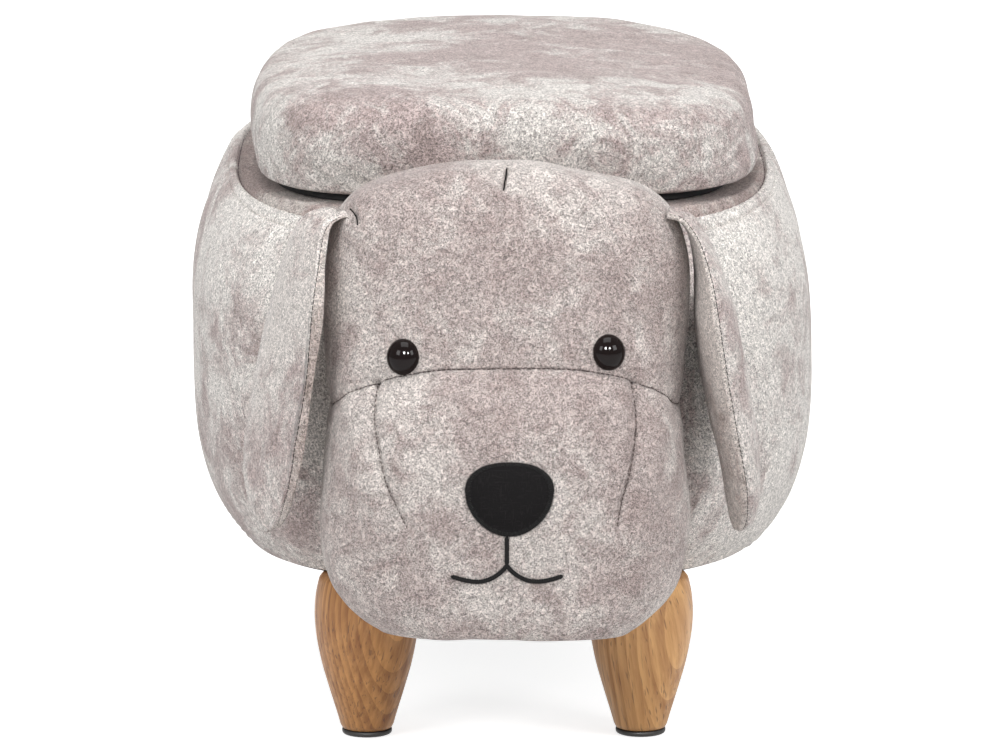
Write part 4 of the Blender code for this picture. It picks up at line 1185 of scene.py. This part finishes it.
def earGrid(form, drop, root):
    # slices across the ear: a lens of outer and lining depths about a bowed middle, turned as it goes down
    table = evenRows(form["rows"], ear["rowCount"], (drop, form["spread"], ear["halfWidth"], 0.01))
    down, reach, wide, thick = (column[:, None] for column in table.T)
    first, middle, last = (math.radians(angle) for angle in form["turn"])
    turn = first + (last - first) * down + (middle - (first + last) / 2) * 4 * down * (1 - down)
    around = ringAngles(ear["columns"])
    share = np.sin(around)
    lens = np.sign(np.cos(around)) * np.abs(np.cos(around)) ** ear["lensPower"]
    depth = np.where(lens > 0, form["outer"], form["lining"]) * lens * thick
    bow = form["bow"] * bell(down - ear["bowAt"], ear["bowAt"]) * (1 - share ** 2)
    out = ear["middle"] * thick + depth + bow
    width = ear["halfWidth"] * wide * share
    x = root[0] + form["spread"] * reach + width * np.sin(turn) + out * np.cos(turn)
    y = root[1] + width * np.cos(turn) - out * np.sin(turn)
    return joinXyz(x, y, root[2] - drop * down), down, share, lens


def makeEar(label):
    form = ear[label]
    root = np.array(joints[f"ear_{label}_lift"]["pos_m"]) * [form["side"], 1, 1]
    drop = root[2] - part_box(f"ear_outer_{label}")[0].z
    points, down, share, lens = earGrid(form, drop, root)
    outside = lens > 0
    # the seam runs a little way in from the front edge on the outer side, and along the rear edge
    wide = np.ptp(points[..., 1], axis=1)[:, None] / 2
    fromFront = (share + 1) * wide
    frontSeam = np.abs(np.where(outside, fromFront, -fromFront) - form["seamIn"])
    rearSeam = np.abs((1 - share) * wide)
    # a soft fold slants over the outer panel's lower half, and gathers fade down from the root
    foldAt = -0.3 + 2.1 * (down - 0.68)
    fold = bell((share - foldAt) * wide, ear["foldWidth"]) * ease(down, 0.55, 0.72) * outside
    gathers = np.sin(share * 9 + 2 * cloudNoise(points, 0.02, 43))
    move = lumps(points, ear["lumps"]) - ear["foldDepth"] * fold
    move = move - ridge(frontSeam, *ear["frontGroove"]) - ridge(rearSeam, *ear["rearGroove"])
    move = move + ear["gather"] * gathers * np.exp(-down / ear["gatherReach"]) * np.abs(lens)
    points = points + outwardOf(points) * move[..., None]
    points[..., 0] *= form["side"]
    # columns on the outer side, from the front seam to the rear edge, make the outer panel
    column = np.arange(ear["columns"])
    seamColumn = int(np.argmin(np.where(outside, frontSeam[ear["rowCount"] // 2], 1)))
    halfway = ear["columns"] // 2
    inside = np.concatenate([column[halfway:], column[:seamColumn + 1]])
    panels = (
        ("earOuter", "outer", column[seamColumn:halfway + 1], velvets["ear"]),
        # the lining's darker, browner velvet is partly painted shade
        ("earLining", "lining", inside, velvets["earLining"]),
    )
    for name, layer, kept, velvet in panels:
        # each panel is closed behind by flat columns from its last one to its first
        surface = points[:, kept]
        chord = surface[:, -1:] + (surface[:, :1] - surface[:, -1:]) * np.linspace(0, 1, 9)[1:-1, None]
        closed = np.concatenate([surface, chord], axis=1)[:, ::form["side"]]
        rows, count = closed.shape[:2]
        corners = np.arange(rows * count).reshape(rows, count)
        faces = gridFaces(rows, count) + [corners[0, ::-1].tolist(), corners[-1].tolist()]
        piece = addMesh(f"{name}_{label}", closed, faces, velvet)
        dress(piece, None, "velvet", f"ear_{layer}_{label}", fill=0.4)
        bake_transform(piece)
    facing = outwardOf(points)[:, seamColumn] * form["side"]
    thread = ear["thread"]
    path = points[:, seamColumn] + facing * thread["lift"]
    spots = stitchPlaces(path[3:-3], facing[3:-3], thread["pitch"], thread["fill"])
    seam = stitches(f"earStitches_{label}", *spots, thread["radius"], stitchArch, blackThread)
    dress(seam, None, "thread")
    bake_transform(seam)


makeEar("left")
makeEar("right")
print("ears made")


# Lid: the cushion, and the black panel under it

lidLow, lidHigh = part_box("lid_cover")
lid = dict(
    **boxOutline("lid_cover"),
    underside=lidLow.z,
    thickness=lidHigh.z - lidLow.z,
    power=2.6,
    frontPower=4.2,
    boardClear=0.0004,
    tuck=0.028,
    tuckEdge=0.016,
    columns=480,
    rowCount=120,
    # inset and height, as shares of half width and thickness
    rows=(
        (0.055, 0.0), (0.040, 0.016), (0.0310, 0.024), (0.0280, 0.036), (0.0260, 0.065), (0.0200, 0.13),
        (0.009, 0.23), (0.002, 0.34), (0.002, 0.51), (0.014, 0.655), (0.036, 0.765), (0.077, 0.86),
        (0.15, 0.92), (0.28, 0.956), (0.45, 0.979), (0.68, 0.994), (0.90, 1.0),
    ),
    lumps=((0.0022, 0.075, 54), (0.0006, 0.022, 55)),
    # pitch, wander, size and seed of the side's slanting creases and of the gathers over the tuck
    creases=0.0006,
    slant=(0.35, -0.5, 0.86),
    creaseWaves=(0.0074, 2.6, 0.03, 51),
    patchSize=0.06,
    patchSeed=52,
    gathers=(0.0007, 0.17, 0.12),
    gatherWaves=(0.021, 3, 0.05, 53),
    settle=0.0042,
    sag=(0.005, 0.1, 0.2),
)


def makeLidCushion():
    # the hollow for the board, the tuck under it, and the padded side and crown
    boardLow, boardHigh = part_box("lid_board")
    clear, tuck, underside = lid["boardClear"], lid["tuck"], lid["underside"]
    edge = lid["halfWidth"] - boardHigh.x - clear
    ceiling, floor = boardHigh.z + clear, boardLow.z - clear
    hollow = [(lid["halfWidth"] * 0.9, ceiling), (0.06, ceiling), (edge, ceiling),
              (edge, floor), (tuck, floor), (tuck, underside), (lid["tuckEdge"], underside)]
    table = evenRows(lid["rows"], lid["rowCount"], (lid["halfWidth"], lid["thickness"]))
    padded = table * [lid["halfWidth"], lid["thickness"]] + [0, underside]
    points = outlineRings(lid, *np.concatenate([hollow, padded]).T, lid["columns"])
    rise = (points[..., 2] - underside) / lid["thickness"]
    side = ease(rise, 0.05, 0.2) * (1 - ease(rise, 0.70, 0.95))
    patches = ease(cloudNoise(points, lid["patchSize"], lid["patchSeed"]), -0.1, 0.7)
    creases = waves(points @ np.array(lid["slant"]), points, *lid["creaseWaves"])
    gathers = waves(lengthAlong(points, 1), points, *lid["gatherWaves"])
    outer = ease(np.arange(len(points)), len(hollow), len(hollow) + 4)[:, None]
    move = lumps(points, lid["lumps"]) * ease(rise, 0.05, 0.3) + lid["creases"] * side * patches * creases
    move = move + gathers * ridge(rise, *lid["gathers"])
    points = points + outwardOf(points) * (move * outer)[..., None]
    # the filling has settled to the right, where the shoulder is lower and the foot of the side fuller
    toRight = ease(points[..., 0], 0.02, lid["halfWidth"]) * outer
    points[..., 2] -= lid["settle"] * toRight * np.clip(rise, 0, 1) ** 2
    points[..., 0] += toRight * ridge(rise, *lid["sag"])
    piece = gridPiece("lidCushion", points, velvets["lid"])
    dress(piece, "lid", "velvet", "lid_cover", "lid_foam", fill=0.85)


lidPanel = dict(columns=360, middle=lid["halfWidth"] * 0.95, flat=0.02, notchRoom=(0.0008, 0.0008, 0.004))


def makeLidPanel():
    # a thin plug with rounded edges, notched for the two hinge leaves
    low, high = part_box("lid_lining")
    edge, middle = lid["halfWidth"] - high.x, lidPanel["middle"]
    rows = [(middle, low.z), (edge + lidPanel["flat"], low.z), (edge + 0.0012, low.z),
            (edge + 0.0003, low.z + 0.0004), (edge, low.z + 0.0012),
            (edge, high.z - 0.0003), (edge + 0.0005, high.z), (middle, high.z)]
    piece = gridPiece("lidPanel", outlineRings(lid, *np.array(rows).T, lidPanel["columns"]), dustCloth)
    for label in ("left", "right"):
        leafLow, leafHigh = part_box(f"hinge_lid_leaf_{label}")
        room = Vector(lidPanel["notchRoom"])
        corners = [leafLow - room, Vector((leafHigh.x, leafHigh.y + 0.01, leafHigh.z)) + room]
        grid = np.array([[corners[i].x, corners[j].y, corners[k].z] for i, j, k in np.ndindex(2, 2, 2)])
        faces = [[0, 1, 3, 2], [4, 6, 7, 5], [0, 4, 5, 1], [2, 3, 7, 6], [0, 2, 6, 4], [1, 5, 7, 3]]
        notch = addMesh(f"notch_{label}", grid, faces, dustCloth)
        cut = piece.modifiers.new("notch", "BOOLEAN")
        cut.object = notch
        cut.operation = "DIFFERENCE"
        graph = bpy.context.evaluated_depsgraph_get()
        mesh = bpy.data.meshes.new_from_object(piece.evaluated_get(graph))
        piece.modifiers.clear()
        piece.data = mesh
        bpy.data.objects.remove(notch)
    dress(piece, "lid", "black_cloth", "lid_lining")


makeLidCushion()
makeLidPanel()
print("lid made")


# The frame's own wood, steel and plastic parts

def recolour(material, *starts):
    for name, node in nodes.items():
        if name.startswith(starts):
            for slot in node.material_slots:
                slot.material = material


recolour(plywood, "base_board", "wall_shell", "rim_ring", "lid_board", "head_block")
recolour(steel, "leg_bolt", "leg_nut", "head_bolt", "hinge_", "body_leaf_screw", "lid_leaf_screw")
recolour(glidePlastic, "eye_washer")


# Floor, light and camera

stage = dict(
    floorSize=40.0, floorLevel=-0.0003, floor=paint("d8d8d8"), floorGlow=0.78, world=0.65,
    camera=(-0.0343, -4.0, 0.9), tilt=10.2, turn=-0.52, sensor=36, lens=259.2, shiftX=-0.005, shiftY=-0.014,
)


def makeFloor():
    half, level = stage["floorSize"] / 2, stage["floorLevel"]
    corners = np.array([[x * half, y * half, level] for x, y in ((-1, -1), (1, -1), (1, 1), (-1, 1))])
    material = bpy.data.materials.new("paleFloor")
    material.use_nodes = True
    tree = material.node_tree
    surface = tree.nodes["Principled BSDF"].inputs
    surface["Base Color"].default_value = stage["floor"]
    surface["Roughness"].default_value = 0.9
    surface["Specular IOR Level"].default_value = 0.1
    surface["Emission Color"].default_value = (1, 1, 1, 1)
    path = addNode(tree, "ShaderNodeLightPath").outputs
    mirrored = calc(tree, "MAXIMUM", path["Is Glossy Ray"], path["Is Transmission Ray"])
    seen = calc(tree, "MAXIMUM", path["Is Camera Ray"], mirrored)
    tree.links.new(calc(tree, "MULTIPLY", seen, stage["floorGlow"]), surface["Emission Strength"])
    addMesh("paleFloor", corners, [[0, 1, 2, 3]], material)


def makeWorld():
    # white to the camera and through glass, and the plain level of light for everything else
    world = bpy.data.worlds.new("softRoom")
    bpy.context.scene.world = world
    world.use_nodes = True
    tree = world.node_tree
    background = tree.nodes["Background"].inputs
    background["Color"].default_value = (1, 1, 1, 1)
    path = addNode(tree, "ShaderNodeLightPath").outputs
    seen = calc(tree, "MAXIMUM", path["Is Camera Ray"], path["Is Transmission Ray"])
    more = calc(tree, "MULTIPLY", seen, 1 - stage["world"])
    tree.links.new(calc(tree, "ADD", stage["world"], more), background["Strength"])


# the catch lights are seen only in glossy surfaces, so they light nothing else
lamps = (
    dict(name="topSoftbox", place=(0.0, -0.5, 2.2), size=1.4, power=23.0, diffuse=True),
    dict(name="frontLeftSoftbox", place=(-1.8, -2.2, 1.6), size=1.0, power=22.5, diffuse=True),
    dict(name="frontRightSoftbox", place=(2.0, -1.8, 1.5), size=1.0, power=24.5, diffuse=True),
    dict(name="catchLightLeft", place=(-0.16, -1.70, 1.05), size=0.30, power=38.0, diffuse=False),
    dict(name="catchLightRight", place=(0.50, -1.60, 1.00), size=0.22, power=20.0, diffuse=False),
)


def makeLamps():
    target = (cadBox[0] + cadBox[1]) / 2
    for lamp in lamps:
        light = bpy.data.lights.new(lamp["name"], "AREA")
        light.shape = "SQUARE"
        light.size = lamp["size"]
        light.energy = lamp["power"]
        box = bpy.data.objects.new(lamp["name"], light)
        box.visible_diffuse = lamp["diffuse"]
        box.location = lamp["place"]
        box.rotation_euler = (target - box.location).to_track_quat("-Z", "Y").to_euler()
        bpy.context.scene.collection.objects.link(box)


def makeCamera():
    camera = bpy.data.objects.new("photoCamera", bpy.data.cameras.new("photoCamera"))
    camera.location = stage["camera"]
    camera.rotation_euler = (math.radians(90 - stage["tilt"]), 0, math.radians(stage["turn"]))
    camera.data.sensor_width = stage["sensor"]
    camera.data.lens = stage["lens"]
    camera.data.shift_x = stage["shiftX"]
    camera.data.shift_y = stage["shiftY"]
    bpy.context.scene.collection.objects.link(camera)
    bpy.context.scene.camera = camera


makeFloor()
makeWorld()
makeLamps()
makeCamera()
bpy.context.scene.view_settings.view_transform = "Standard"
print("stage made")
